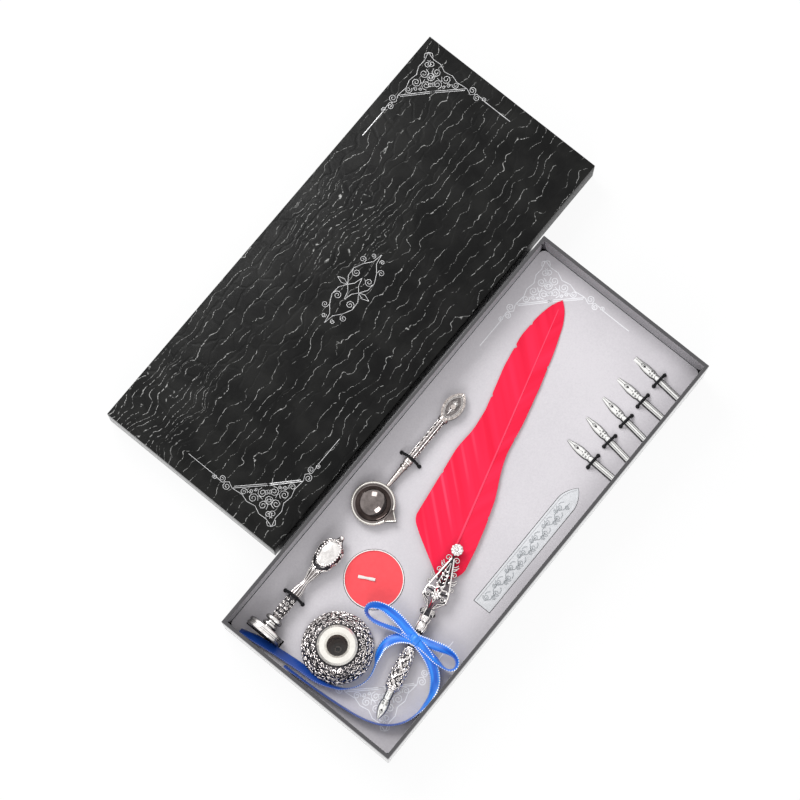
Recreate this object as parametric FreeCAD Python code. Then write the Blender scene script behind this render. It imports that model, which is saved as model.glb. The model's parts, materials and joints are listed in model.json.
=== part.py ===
import FreeCAD
import Part
import math
import os

# A quill pen gift set: a lidded paper box whose tray holds a pen with a feather, an ink pot,
# a wax spoon, a seal stamp, a tea light, a stick of sealing wax and five spare nibs.
# Sizes are millimetres and angles degrees. The origin is the middle of the tray's underside,
# X runs along the tray towards the feather's tip, Y towards the lid, and Z is up.

# Common fits
overrun = 2.0
seat_gap = 0.1
push_fit = 0.05
pocket_play = 0.4

# Tray of wrapped board
tray_width = 134.0
tray_height = 35.0
tray_board = 1.8
wrap_paper = 0.25
wrap_lift = 0.2
turn_in = 20.0
nib_end_room = 13.4
feather_end_room = 19.2

# Insert that fills the bottom of the tray
insert_top = 16.0
insert_card = 1.2
insert_play = 0.4
insert_corner = 4.0

# Lid, laid beside the tray
lid_height = 24.0
lid_board = 1.0
lid_play = 0.5
lid_gap = 5.0
lid_shift = 57.8

# Elastic loops
cord_radius = 0.8
cord_knot = 1.5
cord_hole_play = 0.3
cord_rise = 1.0
cord_slack = 0.3
knot_room = 0.5
cord_sides = 6

# Pen holder
pen_angle = 14.05
pen_tip_across_share = -0.702
pen_nib_showing = 20.4
pen_nib_tail = 8.0
pen_nib_half = 3.2
pen_nib_sheet = 0.35
pen_nib_tip_share = 0.17
ferrule_length = 11.0
ferrule_nose = 1.4
ferrule_wall = 0.5
grip_length = 30.0
grip_radius = 5.0
waist_length = 8.6
waist_radius = 2.4
neck_length = 12.0
neck_radius = 3.6
grip_shares = [(0, 0.62), (0.1, 0.86), (0.33, 1), (0.68, 0.72), (1, 0)]
neck_shares = [(0, 0), (0.42, 0.8), (0.5, 0.8), (0.62, 0.45), (0.8, 0.95), (1, 1)]

# Filigree plate and rosette
plate_length = 46.0
plate_half = 7.9
plate_thickness = 2.0
strand = 0.9
tang_length = 4.0
tang_half = 1.5
scroll_radius = 1.9
sprig_length = 3.4
blossom_radius = 2.5
petal_count = 6
rosette_radius = 4.0
rosette_height = 1.5
rosette_petals = 10
rivet_radius = 0.8
frame_shares = {
    "apex": (0.87, 0.1),
    "corner": (0.38, 0.95),
    "shoulder": (0.26, 1),
    "hollow": (0.21, 0.42),
    "waist": (0.12, 0.2),
    "foot": (0, 0.27),
}
blossom_share = 0.33
leaf_shares = [(0.47, 0.3), (0.62, 0.22)]
side_scroll_shares = [0.05, 0.62]
side_sprig_shares = [0.22, 0.42]
low_scroll_share = 0.55

# Feather
feather_length = 222.5
feather_width = 44.0
feather_turn = 1.98
vane_thickness = 0.5
quill_radius = 1.0
quill_tip_radius = 0.35
quill_offset = 1.5
quill_seat = 5.0
quill_sides = 8
quill_reach_share = 0.97
outer_vane_shares = [(0.1, 0), (0.161, 0.31), (0.208, 0.55), (0.247, 0.716)]
outer_edge_shares = [
    (0.247, 0.716), (0.35, 0.645), (0.483, 0.555), (0.547, 0.445),
    (0.612, 0.395), (0.753, 0.4), (0.857, 0.35), (0.931, 0.207), (1, 0),
]
inner_edge_shares = [
    (0.1, 0), (0.153, -0.25), (0.23, -0.275), (0.305, -0.273), (0.389, -0.245),
    (0.468, -0.164), (0.519, -0.14), (0.621, -0.186), (0.742, -0.198),
    (0.851, -0.186), (0.935, -0.141), (1, 0),
]

# Ribbon bow tied round the pen's waist
ribbon_width = 7.0
ribbon_thickness = 0.4
knot_length = 6.0
knot_across = 8.4
knot_height = 8.0
knot_lift = 0.6
knot_round = 2.2
bow_lift = 3.6
bend_share = 0.45
tail_left_route = [
    (-91.6, -31.4), (-94.6, -25.4), (-100.0, -20.6), (-107.4, -18.6), (-114.6, -20.6),
    (-122.2, -24.4), (-131.2, -25.4), (-139.8, -21.0), (-145.6, -13.0), (-148.4, -1.6),
    (-149.2, 13.0), (-151.0, 29.0), (-153.0, 44.0), (-155.4, 56.6),
]
tail_right_route = [
    (-91.4, -33.0), (-92.6, -40.6), (-95.6, -49.0), (-100.6, -56.4), (-107.8, -61.4),
    (-116.6, -63.4), (-125.4, -63.0), (-134.0, -60.4), (-141.4, -55.0), (-146.8, -47.4),
    (-150.6, -36.4), (-152.8, -22.2), (-154.4, -7.4), (-155.6, 8.0), (-156.4, 20.9),
]
loop_left_route = [
    (-90.6, -31.4), (-88.6, -22.0), (-87.0, -11.4), (-88.0, -1.8), (-92.4, 4.2),
    (-97.6, 3.2), (-99.0, -4.0), (-96.2, -13.0), (-92.8, -21.6), (-91.2, -31.4),
]
loop_right_route = [
    (-90.4, -33.0), (-87.0, -43.0), (-83.6, -52.4), (-83.6, -60.0), (-88.2, -63.6),
    (-92.8, -61.4), (-93.6, -54.6), (-92.0, -45.4), (-90.8, -33.0),
]

# Ink pot
pot_along_share = -0.7946
pot_across_share = 0.037
pot_height = 30.6
pot_base_radius = 15.0
pot_belly_radius = 22.4
pot_belly_height = 15.6
pot_shoulder_radius = 13.4
pot_foot = 1.2
collar_radius = 12.8
collar_height = 3.6
collar_round = 1.4
mouth_radius = 6.7
well_wall = 1.2
well_floor = 3.0
well_pit_radius = 1.1
well_pit_depth = 1.4

# Melting spoon
spoon_along_share = -0.2594
spoon_across_share = 0.664
bowl_radius = 13.9
bowl_depth = 11.0
bowl_wall = 0.9
bowl_bead = 0.85
spout_reach = 19.0
spout_half = 5.2
spout_depth = 3.2
rod_radius = 1.1
rod_length = 10.8
rod_seat = 5.0
spoon_ferrule = 8.4
spoon_ferrule_radius = 1.8
spoon_ring = 3.0
spoon_ring_radius = 3.0
spoon_grip = 32.7
spoon_grip_radius = 2.3
spoon_collar = 1.6
spoon_collar_radius = 3.5
leaf_length = 22.5
leaf_half = 6.5
leaf_thickness = 2.4
leaf_border = 1.4
leaf_sink = 0.5
leaf_eye_radius = 1.7
spoon_loop_half = 7.2

# Seal stamp
stamp_along_share = -0.947
stamp_across_share = 0.677
seal_radius = 12.6
seal_thickness = 5.5
seal_neck = 2.2
seal_neck_radius = 4.4
seal_rings = [(2.6, 5.7), (0.8, 4.6), (3.0, 6.0)]
stud_radius = 2.0
stud_length = 14.0
handle_length = 65.5
oval_points = 8
bulb_half = 8.0
bulb_half_thickness = 6.0
handle_shares = [
    (0, 0.5, 0.67), (0.08, 0.54, 0.72), (0.2, 0.41, 0.55), (0.3, 0.41, 0.55),
    (0.43, 0.22, 0.3), (0.58, 0.46, 0.57), (0.69, 0.84, 0.86), (0.79, 1, 1),
    (0.88, 0.86, 0.88), (0.955, 0.28, 0.36), (1, 0.14, 0.19),
]
stamp_loop_share = 0.26
stamp_loop_half = 7.0

# Tea light
candle_along_share = -0.4921
candle_across_share = 0.19
cup_radius = 19.0
cup_height = 14.8
cup_sheet = 0.3
cup_lip = 0.6
wax_drop = 0.9
wick_radius = 0.5
wick_half = 1.0
wick_bend = 1.6
wick_lying = 11.0
wick_angle = 118.0
tab_radius = 6.0
tab_sheet = 0.4

# Stick of sealing wax
stick_nib_room = 19.455
stick_across_share = -0.788
stick_length = 97.0
stick_half = 6.15
stick_height = 9.0
stick_point = 12.0
stick_border = 1.2
stick_panel = 0.4
stick_bulge_share = 0.72

# Spare nibs
nib_length = 37.6
nib_half = 2.9
nib_sheet = 0.25
nib_slit = 0.15
nib_vent = 0.5
nib_pitch = 16.9
nib_row_room = 21.3
nib_wall_room = 0.8
nib_loop_reach = 17.3
nib_loop_half = 5.0
nib_slants = [5.2, 3.3, 7.0, 7.6, 2.1]
nib_tip_shares = [0.58, 0.46, 0.37, 0.3, 0.24]
nib_section_shares = [
    (0, 0.82, 0.82), (0.49, 0.82, 0.8), (0.53, 0.74, 0.68), (0.59, 0.98, 0.64), (0.74, 1, 0.54), (0.86, 0.74, 0.38),
]
nib_tip_rise_share = 0.17
nib_slit_share = 0.68

# Worked out from the sizes above
wall = tray_board + 2 * wrap_paper
pen_holder_length = pen_nib_showing + grip_length + waist_length + neck_length
pen_turn = math.radians(pen_angle)
pen_run = (
    pen_holder_length * math.cos(pen_turn)
    + feather_length * math.cos(pen_turn + math.radians(feather_turn))
)
inner_length = nib_end_room + pen_run + feather_end_room
inner_width = tray_width - 2 * wall
tray_length = inner_length + 2 * wall
insert_bottom = insert_top - insert_card
pen_tip_x = nib_end_room - inner_length / 2
pen_tip_y = pen_tip_across_share * inner_width / 2
pen_height = insert_top + seat_gap + grip_radius
seat_height = insert_top + seat_gap
well_radius = mouth_radius + well_wall
head_length = seal_thickness + seal_neck + sum(length for length, radius in seal_rings)
stamp_height = seat_height + bulb_half_thickness
spoon_height = seat_height + spoon_collar_radius
plate_bottom = quill_radius - quill_offset + seat_gap
nib_shank = nib_half * nib_section_shares[0][2]


def vec(x, y, z=0):
    return FreeCAD.Vector(x, y, z)


def block(length, width, low, high):
    corner = vec(-length / 2, -width / 2, low)
    return Part.makeBox(length, width, high - low, corner)


def rod(radius, start, end):
    way = end - start
    return Part.makeCylinder(radius, way.Length, start, way)


def drum(radius, x, y, low, high):
    return rod(radius, vec(x, y, low), vec(x, y, high))


def line(a, b):
    return Part.LineSegment(a, b).toShape()


def arc(a, b, c):
    return Part.Arc(a, b, c).toShape()


def curve(points):
    spline = Part.BSplineCurve()
    spline.interpolate(points)
    return spline.toShape()


def face_of(edges):
    return Part.Face(Part.Wire(Part.__sortEdges__(edges)))


def polygon(points):
    return Part.Face(Part.makePolygon(points + points[:1]))


def ring_body(profile, axis):
    return profile.revolve(vec(0, 0), axis, 360)


def turned(steps):
    """A stepped bar along X, from (length, radius) steps."""
    points = [vec(0, 0)]
    along = 0
    for length, radius in steps:
        points.append(vec(along, radius))
        along = along + length
        points.append(vec(along, radius))
    points.append(vec(along, 0))
    return ring_body(polygon(points), vec(1, 0))


def place(shape, x, y, z, angle=0):
    spin = FreeCAD.Rotation(vec(0, 0, 1), angle)
    moved = shape.copy()
    moved.Placement = FreeCAD.Placement(vec(x, y, z), spin).multiply(moved.Placement)
    return moved


def spot(along_share, across_share):
    return along_share * inner_length / 2, across_share * inner_width / 2


def export(shape, name):
    shape.exportStep("parts/" + name + ".step")


def route_wire(points, share):
    """Straight runs joined by arcs, each as large as its two runs allow."""
    edges = []
    radii = []
    start = points[0]
    for before, corner, after in zip(points, points[1:], points[2:]):
        back = before - corner
        ahead = after - corner
        half_turn = (math.pi - back.getAngle(ahead)) / 2
        shorter = min(back.Length, ahead.Length)
        cut = share * shorter
        radii.append(cut / math.tan(half_turn))
        back.normalize()
        ahead.normalize()
        enter = corner + back * cut
        leave = corner + ahead * cut
        depth = radii[-1] / math.cos(half_turn) - radii[-1]
        inward = back + ahead
        inward.normalize()
        edges.append(line(start, enter))
        edges.append(arc(enter, corner + inward * depth, leave))
        start = leave
    edges.append(line(start, points[-1]))
    return Part.Wire(edges), radii


# Box

def tray_board_shell():
    outer = block(tray_length - 2 * wrap_paper, tray_width - 2 * wrap_paper, 0, tray_height - wrap_paper)
    hollow = block(inner_length + 2 * wrap_paper, inner_width + 2 * wrap_paper, tray_board, tray_height)
    return outer.cut(hollow)


def tray_wrap_skin():
    walls = block(tray_length, tray_width, wrap_lift, tray_height)
    mouth = block(inner_length, inner_width, 0, tray_height + overrun)
    below = block(inner_length + 2 * wrap_paper, inner_width + 2 * wrap_paper, 0, tray_height - turn_in)
    return walls.cut(tray_board_shell()).cut(mouth).cut(below)


def lid_place(shape):
    shift = tray_width / 2 + lid_gap + lid_width() / 2
    return place(shape, lid_shift, shift, 0)


def lid_length():
    return tray_length + 2 * (lid_play + lid_board + wrap_paper)


def lid_width():
    return tray_width + 2 * (lid_play + lid_board + wrap_paper)


def lid_board_shell():
    outer = block(lid_length() - 2 * wrap_paper, lid_width() - 2 * wrap_paper, 0, lid_height - wrap_paper)
    hollow = block(
        tray_length + 2 * lid_play, tray_width + 2 * lid_play, -overrun, lid_height - wrap_paper - lid_board
    )
    return outer.cut(hollow)


def lid_wrap_skin():
    outer = block(lid_length(), lid_width(), wrap_lift, lid_height)
    core = block(lid_length() - 2 * wrap_paper, lid_width() - 2 * wrap_paper, 0, lid_height - wrap_paper)
    return outer.cut(core)


# Insert

def insert_slab(low, high):
    length = inner_length - 2 * insert_play
    width = inner_width - 2 * insert_play
    slab = block(length, width, low, high)
    uprights = [edge for edge in slab.Edges if edge.Vertexes[0].Z != edge.Vertexes[-1].Z]
    return slab.makeFillet(insert_corner, uprights)


def pockets(low, high):
    """Cutting bodies for the pieces that sink into the insert."""
    pot_x, pot_y = spot(pot_along_share, pot_across_share)
    candle_x, candle_y = spot(candle_along_share, candle_across_share)
    bowl_x, bowl_y = spot(spoon_along_share, spoon_across_share)
    seal_x, seal_y = spot(stamp_along_share, stamp_across_share)
    slot = block(seal_thickness + 2 * pocket_play, 2 * (seal_radius + pocket_play), low, high)
    return [
        drum(pot_belly_radius + pocket_play, pot_x, pot_y, low, high),
        drum(cup_radius + pocket_play, candle_x, candle_y, low, high),
        drum(bowl_girth(insert_top) + pocket_play, bowl_x, bowl_y, low, high),
        place(slot, seal_x + seal_thickness / 2, seal_y, 0),
    ]


def stick_pocket():
    low = insert_top - stick_height
    face = stick_outline(pocket_play)
    return stick_place(face.extrude(vec(0, 0, stick_height + overrun)), low)


def loop_feet():
    """Pairs of places where the elastic loops pass through the card."""
    pairs = []
    for (x, y), half in ((spoon_loop_spot(), spoon_loop_half), (stamp_loop_spot(), stamp_loop_half)):
        pairs.append((vec(x, y - half), vec(x, y + half)))
    for number in range(len(nib_slants)):
        middle, angle = nib_loop_spot(number)
        across = vec(math.cos(angle), -math.sin(angle)) * nib_loop_half
        pairs.append((middle - across, middle + across))
    return pairs


def insert_card_sheet():
    card = insert_slab(insert_bottom, insert_top)
    tools = pockets(0, insert_top + overrun)
    tools.append(stick_pocket())
    for feet in loop_feet():
        for foot in feet:
            hole = Part.Face(cord_section(foot, cord_radius + cord_hole_play))
            tools.append(hole.extrude(vec(0, 0, insert_top + overrun)))
    return card.cut(Part.makeCompound(tools))


def insert_foam_block():
    foam = insert_slab(tray_board, insert_bottom)
    tools = pockets(0, insert_top)
    tools.append(stick_pocket())
    room = cord_knot + knot_room
    for start, end in loop_feet():
        way = end - start
        channel = block(way.Length + 2 * room, 2 * room, insert_bottom - 2 * room, insert_top)
        middle = (start + end) / 2
        tools.append(place(channel, middle.x, middle.y, 0, math.degrees(math.atan2(way.y, way.x))))
    return foam.cut(Part.makeCompound(tools))


# Elastic loops

def cord_section(middle, radius):
    """A level ring of flat sides round middle."""
    turns = [2 * math.pi * (number + 0.5) / cord_sides for number in range(cord_sides)]
    ring = [middle + vec(math.cos(turn), math.sin(turn)) * radius for turn in turns]
    return Part.makePolygon(ring + ring[:1])


def elastic_loop(half, item_radius, item_height):
    """A loop across Y over a bar of that radius and height, with a knot under each foot."""
    crown = item_height + item_radius + cord_radius + cord_slack
    foot = -insert_card - cord_knot
    profile = [(-half, foot), (-half, cord_rise), (-item_radius, crown)]
    mirrored = [(-y, z) for y, z in reversed(profile)]
    points = [vec(0, y, z) for y, z in profile + mirrored]
    path, radii = route_wire(points, bend_share)
    loop = path.makePipeShell([cord_section(points[0], cord_radius)], True, False)
    for end in (points[0], points[-1]):
        knot = Part.Face(cord_section(end - vec(0, 0, cord_knot), cord_knot))
        loop = loop.fuse(knot.extrude(vec(0, 0, 2 * cord_knot)))
    return loop.removeSplitter()


def spoon_loop_spot():
    x, y = spot(spoon_along_share, spoon_across_share)
    return x + spoon_grip_start() + cord_radius + cord_slack, y


def stamp_loop_spot():
    x, y = spot(stamp_along_share, stamp_across_share)
    return x + head_length + stamp_loop_share * handle_length, y


def nib_loop_spot(number):
    x = inner_length / 2 - nib_row_room - number * nib_pitch
    y = nib_loop_reach - inner_width / 2
    return vec(x, y), math.radians(nib_slants[number])


def spoon_loop():
    x, y = spoon_loop_spot()
    loop = elastic_loop(spoon_loop_half, spoon_grip_radius, spoon_height - insert_top)
    return place(loop, x, y, insert_top)


def stamp_loop():
    x, y = stamp_loop_spot()
    girth = bulb_half_thickness * max(share for along, wide, share in handle_shares[2:4])
    loop = elastic_loop(stamp_loop_half, girth, stamp_height - insert_top)
    return place(loop, x, y, insert_top)


def nib_loops():
    loops = []
    for number in range(len(nib_slants)):
        middle, angle = nib_loop_spot(number)
        loop = elastic_loop(nib_loop_half, nib_shank, seat_gap)
        loops.append(place(loop, middle.x, middle.y, insert_top, 90 - math.degrees(angle)))
    return Part.makeCompound(loops)


# Nibs

def nib_section(along, half, rise, sheet):
    outer = arc(vec(along, -half), vec(along, 0, rise), vec(along, half))
    inner = arc(vec(along, sheet - half), vec(along, 0, rise - sheet), vec(along, half - sheet))
    left = line(vec(along, half), vec(along, half - sheet))
    right = line(vec(along, sheet - half), vec(along, -half))
    return Part.Wire([outer, left, inner, right])


def nib_body(length, half, sheet, tip_share):
    """A curved steel nib along X, butt at the origin, with its slit and diamond vent."""
    rows = nib_section_shares + [(1, tip_share, nib_tip_rise_share)]
    wires = [nib_section(along * length, wide * half, rise * half, sheet) for along, wide, rise in rows]
    body = Part.makeLoft(wires, True, True)
    start = nib_slit_share * length
    slit = Part.makeBox(length, nib_slit, 2 * half, vec(start, -nib_slit / 2, -half))
    ahead = vec(nib_vent, 0)
    aside = vec(0, nib_vent)
    middle = vec(start, 0)
    vent = polygon([middle - ahead, middle - aside, middle + ahead, middle + aside])
    return body.cut(slit).cut(vent.extrude(vec(0, 0, 2 * half)))


def spare_nib(number):
    middle, angle = nib_loop_spot(number)
    back = (nib_loop_reach - nib_wall_room) / math.cos(angle)
    butt = middle - vec(math.sin(angle), math.cos(angle)) * back
    body = nib_body(nib_length, nib_half, nib_sheet, nib_tip_shares[number])
    return place(body, butt.x, butt.y, seat_height, 90 - math.degrees(angle))


# Pen, in its own frame: X along the pen from the nib's tip, Z up from its axis

def pen_place(shape):
    return place(shape, pen_tip_x, pen_tip_y, pen_height, pen_angle)


def pen_nib():
    length = pen_nib_showing + pen_nib_tail
    body = nib_body(length, pen_nib_half, pen_nib_sheet, pen_nib_tip_share)
    return place(body, length, 0, 0, 180)


def ferrule_bore():
    return pen_nib_half * nib_section_shares[0][1] + push_fit


def pen_ferrule():
    start = vec(pen_nib_showing - ferrule_nose, 0)
    end = start + vec(ferrule_length, 0)
    sleeve = rod(ferrule_bore() + ferrule_wall, start, end)
    return sleeve.cut(rod(ferrule_bore(), start, end))


def swelling(start, length, thick, shares):
    extra = thick - waist_radius
    return [vec(start + along * length, waist_radius + share * extra) for along, share in shares]


def pen_grip():
    start = pen_nib_showing
    grip = swelling(start, grip_length, grip_radius, grip_shares)
    neck_start = start + grip_length + waist_length
    neck = swelling(neck_start, neck_length, neck_radius, neck_shares)
    nose = vec(start, 0)
    end = vec(pen_holder_length, 0)
    corners = [grip[-1]] + neck + [end, nose, grip[0]]
    edges = [curve(grip)] + [line(a, b) for a, b in zip(corners, corners[1:])]
    body = ring_body(face_of(edges), vec(1, 0))
    bore_end = vec(start + ferrule_length - ferrule_nose + seat_gap, 0)
    socket = rod(ferrule_bore() + ferrule_wall + push_fit, nose - vec(overrun, 0), bore_end)
    slot_half = tang_half + push_fit
    slot_low = plate_bottom - push_fit
    slot = Part.makeBox(
        tang_length + push_fit + overrun, 2 * slot_half, plate_thickness + 2 * push_fit,
        vec(pen_holder_length - tang_length - push_fit, -slot_half, slot_low),
    )
    return body.cut(socket).cut(slot).cut(feather_place(quill_bore()))


# Filigree plate, drawn flat with X from the neck's end face

def plate_point(shares, side):
    along, across = shares
    return vec(along * plate_length, side * across * plate_half)


def bar(a, b):
    """A flat strand from a to b."""
    way = b - a
    side = vec(-way.y, way.x)
    side.normalize()
    side = side * (strand / 2)
    return polygon([a + side, b + side, b - side, a - side])


def petal(a, b):
    """A pointed leaf from a to b, widest in its middle."""
    way = b - a
    side = vec(-way.y, way.x)
    side.normalize()
    side = side * (strand / 2)
    middle = (a + b) / 2
    return polygon([a + side, middle + side, b, middle - side, a - side])


def bent_bar(a, through, b):
    """A flat strand along the arc from a to b."""
    bend = arc(a, through, b).Curve
    middle = bend.Center
    grow = strand / 2
    bands = []
    for change in (grow, -grow):
        grown = (bend.Radius + change) / bend.Radius
        bands.append([middle + (point - middle) * grown for point in (a, through, b)])
    outer, inner = bands
    edges = [arc(*outer), arc(*inner), line(outer[0], inner[0]), line(outer[2], inner[2])]
    return face_of(edges)


def disc(middle, radius):
    return Part.Face(Part.Wire(Part.makeCircle(radius, middle)))


def side_line(side):
    return plate_point(frame_shares["apex"], side), plate_point(frame_shares["corner"], side)


def scroll(root, outward, along):
    """A curl that grows from root, with a bead at its inner end."""
    reach = scroll_radius - strand / 2
    middle = root + outward * reach
    turn = arc_points(middle, -outward, along, reach)
    bead_at = middle + along * (reach - strand)
    return [bent_bar(*turn[:3]), bent_bar(*turn[2:]), disc(bead_at, strand)]


def arc_points(middle, first, second, radius):
    """Five points round three quarters of a circle, from first through second."""
    angles = [0, 0.375 * math.pi, 0.75 * math.pi, 1.125 * math.pi, 1.5 * math.pi]
    return [middle + (first * math.cos(turn) - second * math.sin(turn)) * radius for turn in angles]


def sprig(root, outward, along):
    """Three small leaves that fan out from root."""
    leaves = []
    for lean in (-1, 0, 1):
        way = outward * 2 + along * (1 - lean)
        way.normalize()
        leaves.append(petal(root, root + way * (sprig_length - abs(lean) * strand)))
    return leaves


def plate_side(side):
    """The strands of one half of the plate."""
    top, corner = side_line(side)
    shoulder, hollow, waist, foot = [
        plate_point(frame_shares[name], side) for name in ("shoulder", "hollow", "waist", "foot")
    ]
    heart = vec(blossom_share * plate_length, 0)
    strands = [bar(top, corner), bar(corner, shoulder), bar(waist, foot), bent_bar(shoulder, hollow, waist)]
    strands += [disc(joint, strand / 2) for joint in (top, corner, shoulder, waist)]
    strands.append(bar(corner, heart + vec(blossom_radius / 2, side * blossom_radius)))
    strands.append(bar(shoulder, heart + vec(-blossom_radius / 2, side * blossom_radius)))
    downward = corner - top
    run = downward.Length
    downward.normalize()
    outward = vec(downward.y, -downward.x) * -side
    for share in side_scroll_shares:
        strands += scroll(top + downward * (share * run), outward, downward)
    for share in side_sprig_shares:
        strands += sprig(top + downward * (share * run), outward, -downward)
    low = waist + (foot - waist) * low_scroll_share
    strands += scroll(low, vec(0, side), vec(1, 0))
    for (start, wide), (end, narrow) in zip(leaf_shares, leaf_shares[1:]):
        a = vec(start * plate_length, 0)
        b = vec(end * plate_length, 0)
        strands.append(bent_bar(a, (a + b) / 2 + vec(0, side * wide * plate_half), b))
    return strands


def plate_middle():
    """The strands on the plate's middle line: rib, blossom, pad and tang."""
    apex = frame_shares["apex"][0] * plate_length
    heart = vec(blossom_share * plate_length, 0)
    pad = vec(plate_length, 0)
    waist = frame_shares["waist"][0] * plate_length
    strands = [bar(heart, vec(apex, 0)), bar(vec(apex, 0), pad), bar(vec(waist, 0), heart)]
    strands.append(disc(heart, blossom_radius - strand))
    for number in range(petal_count):
        turn = 2 * math.pi * number / petal_count
        way = vec(math.cos(turn), math.sin(turn)) * (blossom_radius + strand / 2)
        strands.append(disc(heart + way, strand))
        strands.append(bar(heart, heart + way))
    strands.append(disc(pad, rosette_radius - strand))
    tang = Part.makePlane(tang_length + waist, 2 * tang_half, vec(-tang_length, -tang_half))
    strands.append(tang)
    return strands


def pen_filigree():
    strands = plate_middle() + plate_side(1) + plate_side(-1)
    solids = [drawn.extrude(vec(0, 0, plate_thickness)) for drawn in strands]
    plate = solids[0].fuse(solids[1:]).removeSplitter()
    hole = drum(rivet_radius + push_fit, plate_length, 0, -overrun, plate_thickness + overrun)
    return place(plate.cut(hole), pen_holder_length, 0, plate_bottom).cut(pen_grip())


def pen_rosette():
    outline = []
    for number in range(2 * rosette_petals):
        turn = math.pi * number / rosette_petals
        radius = rosette_radius - (number % 2) * strand / 2
        outline.append(vec(math.cos(turn), math.sin(turn)) * radius)
    button = polygon(outline).extrude(vec(0, 0, rosette_height))
    button = button.fuse(drum(strand, 0, 0, 0, rosette_height + strand / 2))
    button = button.fuse(drum(rivet_radius, 0, 0, -plate_thickness, rosette_height / 2))
    return place(button, pen_holder_length + plate_length, 0, plate_bottom + plate_thickness)


# Feather, in its own frame: X along the quill from the neck's end face

def feather_place(shape):
    drop = grip_radius - quill_offset - vane_thickness / 2
    droop = math.degrees(math.asin(drop / feather_length))
    leaning = shape.copy()
    leaning.Placement = FreeCAD.Placement(vec(0, 0), FreeCAD.Rotation(vec(0, 1), droop))
    return place(leaning, pen_holder_length, 0, -quill_offset, feather_turn)


def quill_section(along, radius):
    turns = [2 * math.pi * number / quill_sides for number in range(quill_sides)]
    ring = [vec(along, radius * math.cos(turn), radius * math.sin(turn)) for turn in turns]
    return Part.makePolygon(ring + ring[:1])


def quill():
    root = quill_section(-quill_seat, quill_radius)
    tip = quill_section(quill_reach_share * feather_length, quill_tip_radius)
    return Part.makeLoft([root, tip], True, True)


def quill_bore():
    depth = quill_seat + push_fit
    mouth = Part.Face(quill_section(-depth, quill_radius + push_fit))
    return mouth.extrude(vec(depth + overrun, 0))


def feather_vane():
    edges = []
    for shares in (outer_vane_shares, outer_edge_shares, inner_edge_shares):
        edges.append(curve([vec(along * feather_length, across * feather_width) for along, across in shares]))
    vane = face_of(edges).extrude(vec(0, 0, vane_thickness))
    vane.translate(vec(0, 0, -vane_thickness / 2))
    return feather_place(vane.cut(quill()))


# Ribbon

def ribbon_knot():
    middle = pen_nib_showing + grip_length + waist_length / 2
    bow = block(knot_length, knot_across, knot_lift - knot_height / 2, knot_lift + knot_height / 2)
    long_edges = [edge for edge in bow.Edges if edge.Vertexes[0].X != edge.Vertexes[-1].X]
    bow = bow.makeFillet(knot_round, long_edges)
    bow = place(bow, middle, 0, 0)
    return bow.cut(rod(waist_radius + push_fit, vec(0, 0), vec(pen_holder_length, 0)))


def ribbon_strip(route, low, name, knot):
    """A ribbon that stands on its edge along a route on the insert."""
    points = [vec(x, y, low) for x, y in route]
    path, radii = route_wire(points, bend_share)
    first = points[1] - points[0]
    side = vec(-first.y, first.x)
    side.normalize()
    side = side * (ribbon_thickness / 2)
    up = vec(0, 0, ribbon_width)
    start = points[0]
    corners = [start + side, start - side, start - side + up, start + side + up]
    strip = path.makePipeShell([Part.makePolygon(corners + corners[:1])], True, False)
    expected = path.Length * ribbon_width * ribbon_thickness
    print(name, "bend radii", [round(r, 1) for r in radii], "volume share", round(strip.Volume / expected, 4))
    pieces = strip.cut(knot).Solids
    return max(pieces, key=lambda piece: piece.Volume)


# Ink pot, standing on the tray's floor

def pot_place(shape):
    x, y = spot(pot_along_share, pot_across_share)
    return place(shape, x, y, tray_board)


def pot_top():
    return pot_height - collar_height


def ink_pot_body():
    top = pot_top()
    points = [vec(0, 0, 0), vec(pot_base_radius, 0, 0), vec(pot_base_radius, 0, pot_foot)]
    shoulder = vec(pot_shoulder_radius, 0, top)
    edges = [line(a, b) for a, b in zip(points, points[1:])]
    edges.append(arc(points[-1], vec(pot_belly_radius, 0, pot_belly_height), shoulder))
    edges.append(line(shoulder, vec(0, 0, top)))
    edges.append(line(vec(0, 0, top), points[0]))
    body = ring_body(face_of(edges), vec(0, 0, 1))
    return body.cut(drum(well_radius + push_fit, 0, 0, well_floor, top + overrun))


def ink_pot_collar():
    top = pot_top()
    ring = drum(collar_radius, 0, 0, top, pot_height)
    ring = ring.cut(drum(mouth_radius, 0, 0, 0, pot_height + overrun))
    upper = [edge for edge in ring.Edges if edge.Closed and edge.CenterOfMass.z > pot_height - push_fit]
    return ring.makeChamfer(collar_round, upper)


def ink_pot_well():
    top = pot_top()
    well = drum(well_radius, 0, 0, well_floor, top)
    floor = well_floor + well_wall + well_pit_depth
    well = well.cut(drum(mouth_radius, 0, 0, floor, top + overrun))
    return well.cut(drum(well_pit_radius, 0, 0, floor - well_pit_depth, top))


# Spoon, in its own frame: X along the handle from the bowl's middle, Z up from the handle's axis

def spoon_place(shape):
    x, y = spot(spoon_along_share, spoon_across_share)
    return place(shape, x, y, spoon_height)


def spoon_grip_start():
    return bowl_radius + rod_length + spoon_ferrule + spoon_ring


def bowl_cap(ball, top):
    """The part of the bowl's ball below its rim."""
    middle = top - bowl_depth + ball_radius()
    sphere = Part.makeSphere(ball, vec(0, 0, middle))
    below = block(2 * ball_radius() + overrun, 2 * ball_radius() + overrun, top - 2 * ball_radius(), top)
    return sphere.common(below)


def bowl_girth(height):
    """The bowl's outer radius at a height above the table."""
    below_middle = spoon_height + rod_radius - bowl_depth + ball_radius() - height
    return math.sqrt(ball_radius() ** 2 - below_middle ** 2)


def ball_radius():
    return (bowl_radius ** 2 + bowl_depth ** 2) / (2 * bowl_depth)


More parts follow.
